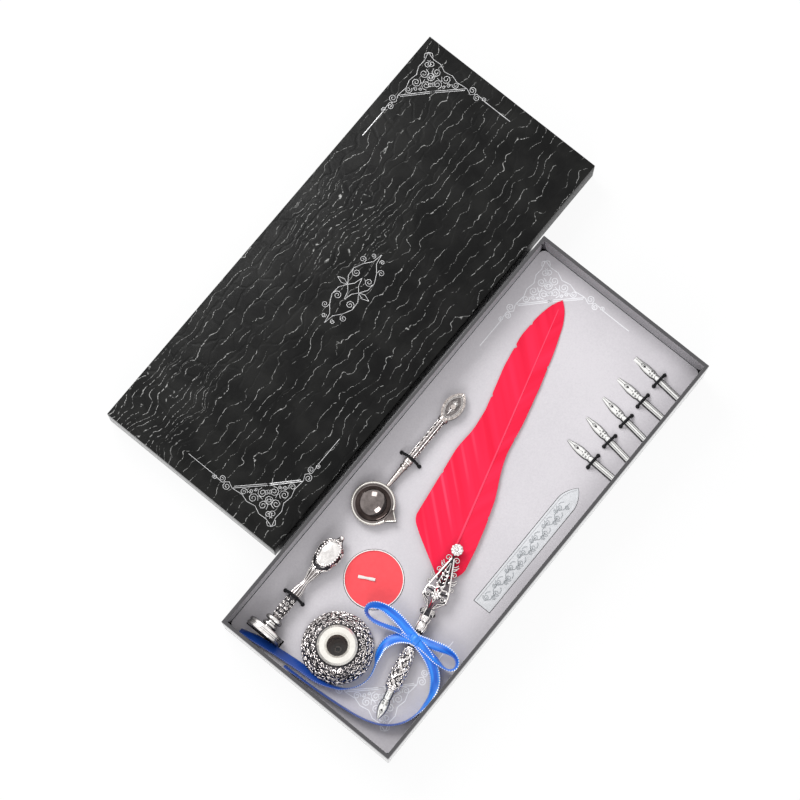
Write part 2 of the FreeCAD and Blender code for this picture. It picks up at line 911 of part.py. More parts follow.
def spout_wedge(inset, low, high):
    root = bowl_wall * 2 - bowl_radius
    half = spout_half - inset
    corners = [vec(-half, root, low), vec(0, 2 * inset - spout_reach, low), vec(half, root, low)]
    return polygon(corners).extrude(vec(0, 0, high - low))


def spoon_bowl():
    top = rod_radius
    bowl = bowl_cap(ball_radius(), top).fuse(drum(bowl_radius, 0, 0, top - bowl_bead, top + bowl_bead))
    bowl = bowl.fuse(spout_wedge(0, top - spout_depth, top))
    bowl = bowl.cut(bowl_cap(ball_radius() - bowl_wall, top + bowl_bead + overrun))
    bowl = bowl.cut(drum(bowl_radius - 2 * bowl_bead, 0, 0, top - bowl_bead, top + overrun))
    bowl = bowl.cut(spout_wedge(bowl_wall, top + bowl_wall - spout_depth, top + overrun))
    stem = rod(rod_radius, vec(bowl_radius - bowl_bead, 0), vec(bowl_radius + rod_length + rod_seat, 0))
    return bowl.fuse(stem).removeSplitter()


def leaf_face(half, length, inset):
    tip = vec(length - inset, 0)
    root = vec(inset, 0)
    middle = length / 2
    return face_of([arc(root, vec(middle, half - inset), tip), arc(tip, vec(middle, inset - half), root)])


def spoon_leaf():
    plate = leaf_face(leaf_half, leaf_length, 0).extrude(vec(0, 0, leaf_thickness))
    sunk = leaf_face(leaf_half, leaf_length, leaf_border).extrude(vec(0, 0, leaf_thickness))
    plate = plate.cut(place(sunk, 0, 0, leaf_thickness - leaf_sink))
    eye = drum(leaf_eye_radius, leaf_length / 2, 0, leaf_thickness / 2, leaf_thickness + leaf_sink)
    return plate.fuse(eye)


def spoon_handle():
    steps = [
        (spoon_ferrule, spoon_ferrule_radius), (spoon_ring, spoon_ring_radius),
        (spoon_grip, spoon_grip_radius), (spoon_collar, spoon_collar_radius),
    ]
    handle = turned(steps)
    length = sum(step for step, radius in steps)
    handle = handle.cut(rod(rod_radius + push_fit, vec(-overrun, 0), vec(rod_seat + push_fit, 0)))
    leaf = place(spoon_leaf(), length - spoon_collar, 0, -leaf_thickness / 2)
    return place(handle.fuse(leaf), bowl_radius + rod_length, 0, 0)


# Stamp, in its own frame: X along the handle from the seal's face

def stamp_place(shape):
    x, y = spot(stamp_along_share, stamp_across_share)
    return place(shape, x, y, stamp_height)


def seal_head():
    head = turned([(seal_thickness, seal_radius), (seal_neck, seal_neck_radius)] + seal_rings)
    bore = rod(stud_radius + push_fit, vec(head_length - stud_length / 2, 0), vec(head_length + overrun, 0))
    return head.cut(bore)


def seal_stud():
    half = stud_length / 2 - push_fit
    return rod(stud_radius, vec(head_length - half, 0), vec(head_length + half, 0))


def oval(middle, wide, thick):
    """A closed curve round middle, square to X."""
    turns = [2 * math.pi * number / oval_points for number in range(oval_points)]
    ring = Part.BSplineCurve()
    ring.interpolate([middle + vec(0, wide * math.cos(turn), thick * math.sin(turn)) for turn in turns], True)
    return Part.Wire(ring.toShape())


def seal_handle():
    wires = []
    for along, wide, thick in handle_shares:
        middle = vec(head_length + along * handle_length, 0)
        wires.append(oval(middle, wide * bulb_half, thick * bulb_half_thickness))
    body = Part.makeLoft(wires, True, True)
    end = vec(head_length + stud_length / 2, 0)
    return body.cut(rod(stud_radius + push_fit, vec(head_length - overrun, 0), end))


# Tea light, standing on the tray's floor

def candle_place(shape):
    x, y = spot(candle_along_share, candle_across_share)
    return place(shape, x, y, tray_board)


def candle_cup():
    cup = drum(cup_radius - cup_lip / 2, 0, 0, 0, cup_height)
    lip = drum(cup_radius, 0, 0, cup_height - cup_lip, cup_height)
    hollow = drum(cup_radius - cup_lip / 2 - cup_sheet, 0, 0, cup_sheet, cup_height + overrun)
    return cup.fuse(lip).cut(hollow).removeSplitter()


def wax_top():
    return cup_height - wax_drop


def wick_line():
    """The wick stands in the wax, bends over and lies on its surface."""
    level = wax_top() + wick_radius + seat_gap
    angle = math.radians(wick_angle)
    way = vec(math.cos(angle), math.sin(angle))
    up = vec(0, 0, 1)
    corner = vec(0, 0, level)
    low = vec(0, 0, cup_sheet + tab_sheet)
    enter = corner - up * wick_bend
    leave = corner + way * wick_bend
    inner = enter + way * wick_bend
    middle = inner + (up - way) * (wick_bend / math.sqrt(2))
    edges = [line(low, enter), arc(enter, middle, leave), line(leave, corner + way * wick_lying)]
    return Part.Wire(edges), low


def candle_wick():
    path, low = wick_line()
    angle = math.radians(wick_angle)
    deep = vec(math.cos(angle), math.sin(angle)) * wick_radius
    wide = vec(-math.sin(angle), math.cos(angle)) * wick_half
    corners = [low + deep + wide, low - deep + wide, low - deep - wide, low + deep - wide]
    section = Part.makePolygon(corners + corners[:1])
    return path.makePipeShell([section], True, False)


def wick_tab():
    return drum(tab_radius, 0, 0, cup_sheet, cup_sheet + tab_sheet)


def candle_wax():
    wax = drum(cup_radius - cup_lip / 2 - cup_sheet, 0, 0, cup_sheet, wax_top())
    return wax.cut(wick_tab()).cut(candle_wick())


# Stick of sealing wax

def stick_place(shape, low):
    last_nib, slant = nib_loop_spot(len(nib_slants) - 1)
    x = last_nib.x - stick_nib_room - stick_length
    return place(shape, x, stick_across_share * inner_width / 2, low)


def stick_outline(grow):
    """The stick's outline with its pointed end, larger all round by grow."""
    half = stick_half + grow
    shoulder = stick_length - stick_point
    tip = vec(stick_length + grow, 0)
    belly = vec(shoulder + stick_point / 2 + grow / 2, stick_bulge_share * half)
    left = vec(shoulder, half)
    right = vec(shoulder, -half)
    edges = [
        line(vec(-grow, -half), right), arc(right, vec(belly.x, -belly.y), tip),
        arc(tip, belly, left), line(left, vec(-grow, half)), line(vec(-grow, half), vec(-grow, -half)),
    ]
    return face_of(edges)


def wax_stick():
    stick = stick_outline(0).extrude(vec(0, 0, stick_height))
    panel = stick_outline(-stick_border).extrude(vec(0, 0, stick_panel + overrun))
    stick = stick.cut(place(panel, 0, 0, stick_height - stick_panel))
    return stick_place(stick, insert_top - stick_height + seat_gap)


def build():
    os.makedirs("parts", exist_ok=True)
    export(tray_board_shell(), "tray_board")
    export(tray_wrap_skin(), "tray_wrap")
    export(insert_foam_block(), "insert_foam")
    export(insert_card_sheet(), "insert_card")
    export(spoon_loop(), "spoon_elastic")
    export(stamp_loop(), "stamp_elastic")
    export(nib_loops(), "nib_elastics")
    export(lid_place(lid_board_shell()), "lid_board")
    export(lid_place(lid_wrap_skin()), "lid_wrap")
    for number in range(len(nib_slants)):
        export(spare_nib(number), "spare_nib_" + str(number + 1))
    export(pen_place(pen_nib()), "pen_nib")
    export(pen_place(pen_ferrule()), "pen_ferrule")
    export(pen_place(pen_grip()), "pen_grip")
    export(pen_place(pen_filigree()), "pen_filigree")
    export(pen_place(pen_rosette()), "pen_rosette")
    export(pen_place(feather_place(quill())), "feather_quill")
    export(pen_place(feather_vane()), "feather_vane")
    knot = pen_place(ribbon_knot())
    export(knot, "ribbon_knot")
    for route, lift, name in (
        (tail_left_route, 0, "ribbon_tail_left"), (tail_right_route, 0, "ribbon_tail_right"),
        (loop_left_route, bow_lift, "ribbon_loop_left"), (loop_right_route, bow_lift, "ribbon_loop_right"),
    ):
        export(ribbon_strip(route, seat_height + seat_gap + lift, name, knot), name)
    export(pot_place(ink_pot_body()), "ink_pot_body")
    export(pot_place(ink_pot_collar()), "ink_pot_collar")
    export(pot_place(ink_pot_well()), "ink_pot_well")
    export(spoon_place(spoon_bowl()), "spoon_bowl")
    export(spoon_place(spoon_handle()), "spoon_handle")
    export(stamp_place(seal_head()), "seal_head")
    export(stamp_place(seal_stud()), "seal_stud")
    export(stamp_place(seal_handle()), "seal_handle")
    export(candle_place(candle_cup()), "candle_cup")
    export(candle_place(candle_wax()), "candle_wax")
    export(candle_place(candle_wick()), "candle_wick")
    export(candle_place(wick_tab()), "wick_tab")
    export(wax_stick(), "wax_stick")


build()
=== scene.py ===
import json
import math
import bpy
import bmesh
from mathutils import Matrix, Vector

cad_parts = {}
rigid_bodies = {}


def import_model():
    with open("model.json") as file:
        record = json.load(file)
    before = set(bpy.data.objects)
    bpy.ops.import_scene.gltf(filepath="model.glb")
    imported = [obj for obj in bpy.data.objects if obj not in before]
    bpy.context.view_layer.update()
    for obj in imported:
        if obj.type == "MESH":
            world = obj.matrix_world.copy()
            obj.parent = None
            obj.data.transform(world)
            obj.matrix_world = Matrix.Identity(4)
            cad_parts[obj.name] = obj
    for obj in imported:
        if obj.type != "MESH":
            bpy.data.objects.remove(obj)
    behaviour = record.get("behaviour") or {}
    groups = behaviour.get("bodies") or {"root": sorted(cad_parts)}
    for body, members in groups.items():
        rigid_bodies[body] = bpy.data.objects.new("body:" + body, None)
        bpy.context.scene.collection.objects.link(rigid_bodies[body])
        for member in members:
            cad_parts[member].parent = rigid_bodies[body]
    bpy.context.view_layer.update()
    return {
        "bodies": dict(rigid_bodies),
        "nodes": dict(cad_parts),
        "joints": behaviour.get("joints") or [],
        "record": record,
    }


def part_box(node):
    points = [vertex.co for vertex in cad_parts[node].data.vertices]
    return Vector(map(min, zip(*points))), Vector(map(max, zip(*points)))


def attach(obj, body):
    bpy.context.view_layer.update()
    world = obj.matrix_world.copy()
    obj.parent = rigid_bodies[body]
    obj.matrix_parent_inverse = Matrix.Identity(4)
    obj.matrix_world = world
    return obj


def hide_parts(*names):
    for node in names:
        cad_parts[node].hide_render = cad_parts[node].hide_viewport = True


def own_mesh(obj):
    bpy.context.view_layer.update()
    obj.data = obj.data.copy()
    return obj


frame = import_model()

nodes = frame["nodes"]
scene = bpy.context.scene
scene.view_settings.view_transform = "Standard"
mm = 0.001


# tools that every piece uses

def clearSelection():
    if bpy.context.object and bpy.context.object.mode != "OBJECT":
        bpy.ops.object.mode_set(mode="OBJECT")
    bpy.ops.object.select_all(action="DESELECT")


def onlySelect(piece):
    clearSelection()
    piece.select_set(True)
    bpy.context.view_layer.objects.active = piece


def applyModifier(piece, kind, **values):
    onlySelect(piece)
    modifier = piece.modifiers.new(kind.lower(), kind)
    for name, value in values.items():
        setattr(modifier, name, value)
    bpy.ops.object.modifier_apply(modifier=modifier.name)


def closeSeams(piece):
    onlySelect(piece)
    bpy.ops.object.mode_set(mode="EDIT")
    bpy.ops.mesh.select_all(action="SELECT")
    bpy.ops.mesh.remove_doubles(threshold=1e-6)
    bpy.ops.mesh.normals_make_consistent(inside=False)
    bpy.ops.object.mode_set(mode="OBJECT")


def finishPiece(piece, name, body, finish, angle=60):
    piece.name = name
    piece.data.name = name
    onlySelect(piece)
    bpy.ops.object.transform_apply(location=True, rotation=True, scale=True)
    bpy.ops.object.shade_smooth_by_angle(angle=math.radians(angle))
    piece.data.materials.clear()
    piece.data.materials.append(finishes[finish])
    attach(piece, body)
    clearSelection()
    return piece


def pieceOf(shape, name):
    mesh = bpy.data.meshes.new(name)
    shape.to_mesh(mesh)
    shape.free()
    piece = bpy.data.objects.new(name, mesh)
    scene.collection.objects.link(piece)
    return piece


def formGrid(alongCount, acrossCount, spotOf):  # a grid whose points go where spotOf(along, across) says
    clearSelection()
    bpy.ops.mesh.primitive_grid_add(x_subdivisions=alongCount, y_subdivisions=acrossCount, size=2)
    piece = bpy.context.object
    for point in piece.data.vertices:
        point.co = spotOf((point.co.x + 1) / 2, (point.co.y + 1) / 2)
    return piece


def sleeve(spotOf, alongCount, aroundCount=24):  # a closed tube whose points go where spotOf(along, turn) says
    piece = formGrid(alongCount, aroundCount, lambda along, across: spotOf(along, math.tau * across))
    closeSeams(piece)
    return piece


def steerCurve(lines, smooth, steps):
    curve = bpy.data.curves.new("wire", "CURVE")
    curve.dimensions = "3D"
    curve.resolution_u = steps
    for points in lines:
        spline = curve.splines.new("NURBS" if smooth else "POLY")
        spline.points.add(len(points) - 1)
        for point, place in zip(spline.points, points):
            point.co = (*place, 1)
        if smooth:
            spline.order_u = 3
            spline.use_endpoint_u = True
    piece = bpy.data.objects.new("wire", curve)
    scene.collection.objects.link(piece)
    return piece, curve


# round wire along each line of points, its radius in millimetres
def wireMesh(lines, radius, sides=1, smooth=False):
    piece, curve = steerCurve(lines, smooth, 4)
    curve.bevel_depth = radius * mm
    curve.bevel_resolution = sides
    curve.use_fill_caps = True
    onlySelect(piece)
    bpy.ops.object.convert(target="MESH")
    return bpy.context.object


# small balls: a spot, then x, y and z half sizes in millimetres and a turn if there is one
def beads(balls, levels=2):
    shapes = bmesh.new()
    for spot, (x, y, z, *turn) in balls:
        place, spin = Matrix.Translation(spot), Matrix.Rotation(sum(turn), 4, "Z")
        shape = place @ spin @ Matrix.Diagonal((x * mm, y * mm, z * mm, 1))
        bmesh.ops.create_icosphere(shapes, subdivisions=levels, radius=1, matrix=shape)
    return pieceOf(shapes, "beads")


def joinPieces(first, *others):
    clearSelection()
    for piece in (first, *others):
        piece.select_set(True)
    bpy.context.view_layer.objects.active = first
    bpy.ops.object.join()
    return first


def softCopy(name, width):  # a copy of a CAD node with eased edges
    source = nodes[name]
    piece = bpy.data.objects.new(name + "Soft", source.data.copy())
    scene.collection.objects.link(piece)
    closeSeams(piece)
    bpy.ops.object.mode_set(mode="EDIT")
    bpy.ops.mesh.select_all(action="SELECT")
    bpy.ops.mesh.dissolve_limited(angle_limit=math.radians(1))
    bpy.ops.object.mode_set(mode="OBJECT")
    applyModifier(piece, "BEVEL", width=width, segments=2, limit_method="ANGLE", angle_limit=math.radians(50))
    return piece


def eased(shares, at):  # a smooth value between listed (share, value) pairs
    for (a, low), (b, high) in zip(shares, shares[1:]):
        if at <= b:
            step = (at - a) / (b - a)
            step = step * step * (3 - 2 * step)
            return low + (high - low) * step
    return shares[-1][1]


def spiral(x, y, outer, inner, start, turns, count=14):
    points = []
    for number in range(count):
        share = number / (count - 1)
        turn = start + math.tau * turns * share
        radius = outer + (inner - outer) * share
        points.append((x + radius * math.cos(turn), y + radius * math.sin(turn)))
    return points


def around(radius, turn):
    return radius * math.cos(turn), radius * math.sin(turn)


ringTurns = [math.tau * step / 24 for step in range(25)]


# materials

def feed(tree, socket, value):
    if hasattr(value, "is_linked"):
        tree.links.new(value, socket)
    else:
        socket.default_value = value


# a node; what is given to its sockets is a value or another node's output
def put(tree, kind, given=None, **settings):
    node = tree.nodes.new("ShaderNode" + kind)
    for name, value in settings.items():
        setattr(node, name, value)
    for name, value in (given or {}).items():
        feed(tree, node.inputs[name], value)
    return node


def calc(tree, operation, *given):
    return put(tree, "Math", dict(enumerate(given)), operation=operation).outputs[0]


def axesOf(tree, vector):
    return put(tree, "SeparateXYZ", {0: vector}).outputs


def spotsOf(tree, kind):
    return put(tree, "TexCoord").outputs[kind]


def newGroup(name, inputs, outputs):
    group = bpy.data.node_groups.new(name, "ShaderNodeTree")
    for label, kind, value in inputs:
        socket = group.interface.new_socket(label, in_out="INPUT", socket_type="NodeSocket" + kind)
        if value is not None:
            socket.default_value = value
    for label, kind in outputs:
        group.interface.new_socket(label, in_out="OUTPUT", socket_type="NodeSocket" + kind)
    return group, group.nodes.new("NodeGroupInput").outputs, group.nodes.new("NodeGroupOutput").inputs


def newMaterial(name, sockets):
    material = bpy.data.materials.new(name)
    material.use_nodes = True
    tree = material.node_tree
    shader = tree.nodes["Principled BSDF"]
    for label, value in sockets.items():
        shader.inputs[label].default_value = value
    return material, tree, shader


def stretched(tree, vector, scale):
    return put(tree, "Mapping", {"Scale": scale, "Vector": vector}).outputs[0]


def noise(tree, vector, scale, detail, rough=0.5):
    given = {"Vector": vector, "Scale": scale, "Detail": detail, "Roughness": rough}
    return put(tree, "TexNoise", given).outputs[0]


def bumpInto(tree, shader, height, strength, distance):
    bump = put(tree, "Bump", {"Strength": strength, "Distance": distance, "Height": height})
    tree.links.new(bump.outputs[0], shader.inputs["Normal"])


def mixColour(tree, factor, first, second):
    return put(tree, "Mix", {0: factor, 6: first, 7: second}, data_type="RGBA").outputs[2]


def ranged(tree, value, fromLow, fromHigh, toLow=0, toHigh=1):
    given = {"Value": value, "From Min": fromLow, "From Max": fromHigh, "To Min": toLow, "To Max": toHigh}
    return put(tree, "MapRange", given, interpolation_type="SMOOTHSTEP").outputs[0]


def makeAgedMetal():
    group, given, wanted = newGroup(
        "agedMetal",
        [("Vector", "Vector", None), ("Bright", "Color", (0.8, 0.8, 0.8, 1)),
         ("Dark", "Color", (0.2, 0.2, 0.2, 1)),
         ("Size", "Float", 400), ("Spread", "Float", 0.5), ("Smooth", "Float", 0.2), ("Rough", "Float", 0.4)],
        [("Color", "Color"), ("Roughness", "Float"), ("Height", "Float")],
    )
    cloud = noise(group, given["Vector"], given["Size"], 6, 0.62)
    stain = ranged(group, cloud, 0.38, 0.68)
    amount = calc(group, "MULTIPLY", stain, given["Spread"])
    colour = mixColour(group, amount, given["Bright"], given["Dark"])
    finer = calc(group, "MULTIPLY", given["Size"], 3.1)
    grain = noise(group, given["Vector"], finer, 4)
    rough = put(group, "MapRange", {1: 0.3, 2: 0.7, 0: grain, 3: given["Smooth"], 4: given["Rough"]})
    group.links.new(colour, wanted["Color"])
    group.links.new(rough.outputs[0], wanted["Roughness"])
    group.links.new(grain, wanted["Height"])
    return group


def makePaperTooth():
    group, given, wanted = newGroup(
        "paperTooth",
        [("Vector", "Vector", None), ("Tint", "Color", (0.6, 0.6, 0.6, 1)),
         ("Shade", "Color", (0.5, 0.5, 0.5, 1)),
         ("Size", "Float", 900)],
        [("Color", "Color"), ("Height", "Float")],
    )
    fibre = noise(group, given["Vector"], given["Size"], 8, 0.7)
    broad = noise(group, given["Vector"], 14, 3)
    both = calc(group, "MULTIPLY", fibre, broad)
    colour = mixColour(group, ranged(group, both, 0.12, 0.42), given["Shade"], given["Tint"])
    group.links.new(colour, wanted["Color"])
    group.links.new(fibre, wanted["Height"])
    return group


agedMetal = makeAgedMetal()
paperTooth = makePaperTooth()

# side is a painted colour for steep faces: painted shade on most metals, a painted highlight on the cup
metals = {
    "oldSilver": {
        "bright": (0.84, 0.79, 0.77, 1), "dark": (0.24, 0.228, 0.23, 1), "side": (0.05, 0.048, 0.05, 1),
        "size": 620, "spread": 0.7, "smooth": 0.2, "rough": 0.42, "bump": 0.12,
    },
    "warmSilver": {
        "bright": (0.62, 0.56, 0.53, 1), "dark": (0.2, 0.178, 0.17, 1), "side": (0.07, 0.062, 0.06, 1),
        "size": 620, "steep": (0.3, 0.85), "spread": 0.7, "smooth": 0.18, "rough": 0.4, "bump": 0.1,
    },
    "tarnished": {
        "bright": (0.24, 0.215, 0.21, 1), "dark": (0.07, 0.063, 0.064, 1), "side": (0.03, 0.029, 0.032, 1),
        "size": 620, "spread": 0.8, "smooth": 0.22, "rough": 0.45, "bump": 0.12,
    },
    "darkRecess": {
        "bright": (0.06, 0.057, 0.062, 1), "dark": (0.014, 0.014, 0.016, 1), "side": (0.02, 0.02, 0.024, 1),
        "size": 500, "spread": 0.8, "smooth": 0.4, "rough": 0.65, "bump": 0.3,
    },
    "brightSilver": {
        "bright": (0.93, 0.9, 0.84, 1), "dark": (0.74, 0.71, 0.66, 1), "side": (0.36, 0.34, 0.31, 1),
        "metal": 0.7, "size": 160, "spread": 0.5, "smooth": 0.16, "rough": 0.28, "bump": 0.02,
    },
    "reliefSilver": {
        "bright": (0.95, 0.905, 0.885, 1), "dark": (0.42, 0.385, 0.38, 1), "side": (0.06, 0.057, 0.062, 1),
        "size": 700, "spread": 0.5, "smooth": 0.14, "rough": 0.3, "bump": 0.06,
    },
    "potSilver": {
        "bright": (0.95, 0.89, 0.87, 1), "dark": (0.42, 0.375, 0.37, 1), "side": (0.04, 0.037, 0.042, 1),
        "size": 700, "steep": (0.3, 0.92), "spread": 0.5, "smooth": 0.14, "rough": 0.3, "bump": 0.06,
    },
    "nibSteel": {
        "bright": (0.98, 0.975, 0.955, 1), "dark": (0.74, 0.73, 0.715, 1), "side": (0.02, 0.02, 0.022, 1),
        "metal": 0.6, "size": 320, "steep": (0.55, 0.92), "spread": 0.4, "smooth": 0.1, "rough": 0.22,
        "bump": 0.03,
    },
    "nickel": {
        "bright": (0.27, 0.235, 0.225, 1), "dark": (0.06, 0.05, 0.048, 1), "side": (0.05, 0.042, 0.042, 1),
        "size": 120, "spread": 0.6, "smooth": 0.05, "rough": 0.14, "bump": 0.01,
    },
    "sealPlate": {
        "bright": (0.96, 0.93, 0.91, 1), "dark": (0.47, 0.445, 0.435, 1), "side": (0.07, 0.066, 0.07, 1),
        "metal": 0.8, "size": 260, "steep": (0.2, 0.97), "spread": 0.5, "smooth": 0.08, "rough": 0.22,
        "bump": 0.03,
    },
    "foilSilver": {
        "bright": (0.78, 0.78, 0.78, 1), "dark": (0.42, 0.42, 0.43, 1), "side": (0.3, 0.3, 0.3, 1),
        "size": 240, "spread": 0.8, "smooth": 0.22, "rough": 0.45, "bump": 0.05,
    },
    "cupMetal": {
        "bright": (0.96, 0.93, 0.92, 1), "dark": (0.78, 0.75, 0.74, 1), "side": (0.72, 0.68, 0.67, 1),
        "metal": 0.3, "size": 220, "spread": 0.5, "smooth": 0.22, "rough": 0.36, "bump": 0.05,
    },
}


def makeMetal(name):
    look = metals[name]
    material, tree, shader = newMaterial(name, {"Metallic": look.get("metal", 1.0)})
    given = {part: look[part.lower()] for part in ("Bright", "Dark", "Size", "Spread", "Smooth", "Rough")}
    made = put(tree, "Group", {"Vector": spotsOf(tree, "Object"), **given}, node_tree=agedMetal).outputs
    facing = axesOf(tree, spotsOf(tree, "Normal"))["Z"]
    steep = look.get("steep", (0.05, 0.72))
    # painted shade: steep faces turn to the side colour, a painted shade on them; on the cup the side colour is
    # pale, a painted highlight on its rim
    colour = mixColour(tree, ranged(tree, facing, *steep), look["side"], made["Color"])
    tree.links.new(colour, shader.inputs["Base Color"])
    tree.links.new(made["Roughness"], shader.inputs["Roughness"])
    bumpInto(tree, shader, made["Height"], look["bump"], 0.0004)
    return material


finishes = {name: makeMetal(name) for name in metals}

papers = {
    "linerPaper": {
        "tint": (0.64, 0.615, 0.645, 1), "shade": (0.56, 0.537, 0.568, 1),
        "size": 900, "bump": (0.05, 0.0003), "sockets": {"Roughness": 0.62},
    },
    "wallPaper": {
        "tint": (0.125, 0.118, 0.132, 1), "shade": (0.088, 0.082, 0.094, 1), "rim": (0.03, 0.028, 0.032, 1),
        "size": 700, "bump": (0.05, 0.0003),
        "sockets": {"Roughness": 0.26, "Coat Weight": 1.0, "Coat Roughness": 0.1},
    },
    "greyBoard": {
        "tint": (0.1, 0.095, 0.105, 1), "shade": (0.06, 0.058, 0.066, 1),
        "size": 500, "bump": (0.2, 0.0003), "sockets": {"Roughness": 0.8},
    },
    "foamCore": {
        "tint": (0.4, 0.39, 0.41, 1), "shade": (0.29, 0.28, 0.3, 1),
        "size": 420, "bump": (0.35, 0.0003), "sockets": {"Roughness": 0.9},
    },
    "paleInk": {
        "tint": (0.93, 0.93, 0.95, 1), "shade": (0.8, 0.8, 0.84, 1),
        "size": 500, "bump": (0.03, 0.0003), "sockets": {"Roughness": 0.45},
    },
    "candleWax": {
        "tint": (0.95, 0.07, 0.085, 1), "shade": (0.88, 0.055, 0.07, 1),
        "size": 300, "bump": (0.05, 0.0004), "sockets": {"Roughness": 0.42, "Coat Weight": 0.15},
    },
    "stickWax": {
        "tint": (0.73, 0.74, 0.765, 1), "shade": (0.6, 0.61, 0.63, 1),
        "size": 420, "bump": (0.08, 0.0004), "sockets": {"Roughness": 0.34, "Metallic": 0.2},
    },
    "stickShadeLines": {
        "tint": (0.47, 0.49, 0.51, 1), "shade": (0.36, 0.38, 0.4, 1),
        "size": 420, "bump": (0.08, 0.0004), "sockets": {"Roughness": 0.4, "Metallic": 0.2},
    },
    "wickThread": {
        "tint": (0.88, 0.86, 0.83, 1), "shade": (0.72, 0.69, 0.66, 1),
        "size": 2600, "bump": (0.4, 0.0004), "sockets": {"Roughness": 0.85},
    },
    "quillShaft": {
        "tint": (0.97, 0.075, 0.15, 1), "shade": (0.93, 0.055, 0.12, 1),
        "size": 260, "bump": (0.05, 0.0004), "sockets": {"Roughness": 0.7, "Specular IOR Level": 0.15},
    },
}


def makePaper(name):  # paper, board, foam, wax or thread
    look = papers[name]
    material, tree, shader = newMaterial(name, look["sockets"])
    given = {part: look[part.lower()] for part in ("Tint", "Shade", "Size")}
    made = put(tree, "Group", {"Vector": spotsOf(tree, "Object"), **given}, node_tree=paperTooth).outputs
    colour = made["Color"]
    if "rim" in look:  # painted light: faces turned up take the dark rim colour, while the steep walls keep the lighter tint, a painted reflection
        facing = axesOf(tree, spotsOf(tree, "Normal"))["Z"]
        colour = mixColour(tree, ranged(tree, facing, 0.3, 0.8), colour, look["rim"])
    tree.links.new(colour, shader.inputs["Base Color"])
    bumpInto(tree, shader, made["Height"], *look["bump"])
    return material


finishes.update({name: makePaper(name) for name in papers})

scaly = {
    "cells": (62, 104, 100), "drift": 44, "warp": 0.017, "crease": 0.13, "beside": (0.155, 0.175),
    "end": (-0.03, -0.07), "patch": (0.084, 0.174, 0.024), "patchSoft": (0.038, 0.02),
    "large": {"rows": 138, "line": 0.034, "dash": 84}, "small": {"rows": 235, "line": 0.075, "dash": 330},
    "black": (0.006, 0.006, 0.006, 1), "bloom": (0.014, 0.014, 0.0135, 1), "glint": (0.46, 0.46, 0.45, 1),
}


def glintRows(tree, look, along, across):  # painted glints: bright dashes along the rows of scales, painted highlights where the creases catch the light
    rows = calc(tree, "MULTIPLY", across, look["rows"])
    spot = calc(tree, "FRACT", rows)
    off = calc(tree, "SUBTRACT", spot, 0.5)
    off = calc(tree, "ABSOLUTE", off)
    step = calc(tree, "MULTIPLY", along, look["dash"])
    number = calc(tree, "FLOOR", rows)
    number = calc(tree, "MULTIPLY", number, 7.3)
    place = put(tree, "CombineXYZ", {0: step, 1: number}).outputs[0]
    dash = ranged(tree, noise(tree, place, 1, 2), 0.39, 0.54)
    return calc(tree, "MULTIPLY", ranged(tree, off, look["line"], 0.0), dash)


# black paper pressed with rows of scales, small ones at one end and in a patch, with painted glints on the
# creases
def makeScalyPaper():
    material, tree, shader = newMaterial("scalyPaper", {"Specular IOR Level": 0.1, "Coat Roughness": 0.12})
    spots = put(tree, "TexCoord").outputs
    place = spots["Object"]
    drift = put(tree, "TexNoise", {"Scale": scaly["drift"], "Detail": 3, "Vector": place})
    shift = put(tree, "VectorMath", {1: (0.5, 0.5, 0.5), 0: drift.outputs["Color"]}, operation="SUBTRACT")
    shift = put(tree, "VectorMath", {"Scale": scaly["warp"], 0: shift.outputs[0]}, operation="SCALE")
    warped = put(tree, "VectorMath", {0: place, 1: shift.outputs[0]}, operation="ADD").outputs[0]
    along, across, down = axesOf(tree, warped)  # the rows fold over the lid's edges
    along = calc(tree, "ADD", along, down)
    across = calc(tree, "ADD", across, down)
    spread = stretched(tree, warped, scaly["cells"])
    cells = put(tree, "TexVoronoi", {"Scale": 1, "Randomness": 0.7, "Vector": spread},
                feature="DISTANCE_TO_EDGE", voronoi_dimensions="2D")
    dome = ranged(tree, cells.outputs["Distance"], 0.0, scaly["crease"])
    large = glintRows(tree, scaly["large"], along, across)
    small = glintRows(tree, scaly["small"], along, across)
    axes = axesOf(tree, place)
    beside = ranged(tree, axes["Y"], *scaly["beside"])
    end = ranged(tree, axes["X"], *scaly["end"])
    region = calc(tree, "MULTIPLY", beside, end)
    patch = put(tree, "VectorMath", {0: place, 1: scaly["patch"]}, operation="DISTANCE").outputs["Value"]
    region = calc(tree, "MAXIMUM", region, ranged(tree, patch, *scaly["patchSoft"]))
    line = mixColour(tree, region, large, small)
    fine = noise(tree, place, 900, 5)
    broad = noise(tree, place, 55, 4)
    glint = calc(tree, "MULTIPLY", line, ranged(tree, fine, 0.4, 0.56))
    ground = mixColour(tree, ranged(tree, broad, 0.35, 0.7), scaly["black"], scaly["bloom"])
    tree.links.new(mixColour(tree, glint, ground, scaly["glint"]), shader.inputs["Base Color"])
    tree.links.new(ranged(tree, fine, 0.2, 0.8, 0.3, 0.5), shader.inputs["Roughness"])
    facing = axesOf(tree, spots["Normal"])["X"]
    facing = calc(tree, "ABSOLUTE", facing)
    # glossy on the short sides
    tree.links.new(ranged(tree, facing, 0.3, 0.8, 0.0, 0.7), shader.inputs["Coat Weight"])
    soft = calc(tree, "MULTIPLY", fine, 0.2)
    height = calc(tree, "ADD", dome, soft)
    bumpInto(tree, shader, height, 0.25, 0.0004)
    return material


finishes["scalyPaper"] = makeScalyPaper()


wellFloor = {
    "middle": (-0.12528, 0.00239, 0), "floor": (0.002, 0.008), "ring": (0.0019, 0.0024),
    "pit": (0.0012, 0.0016), "low": (0.07, 0.048, 0.04, 1), "wall": (0.26, 0.185, 0.155, 1),
    "bright": (0.4, 0.33, 0.29, 1), "black": (0.004, 0.003, 0.003, 1),
}


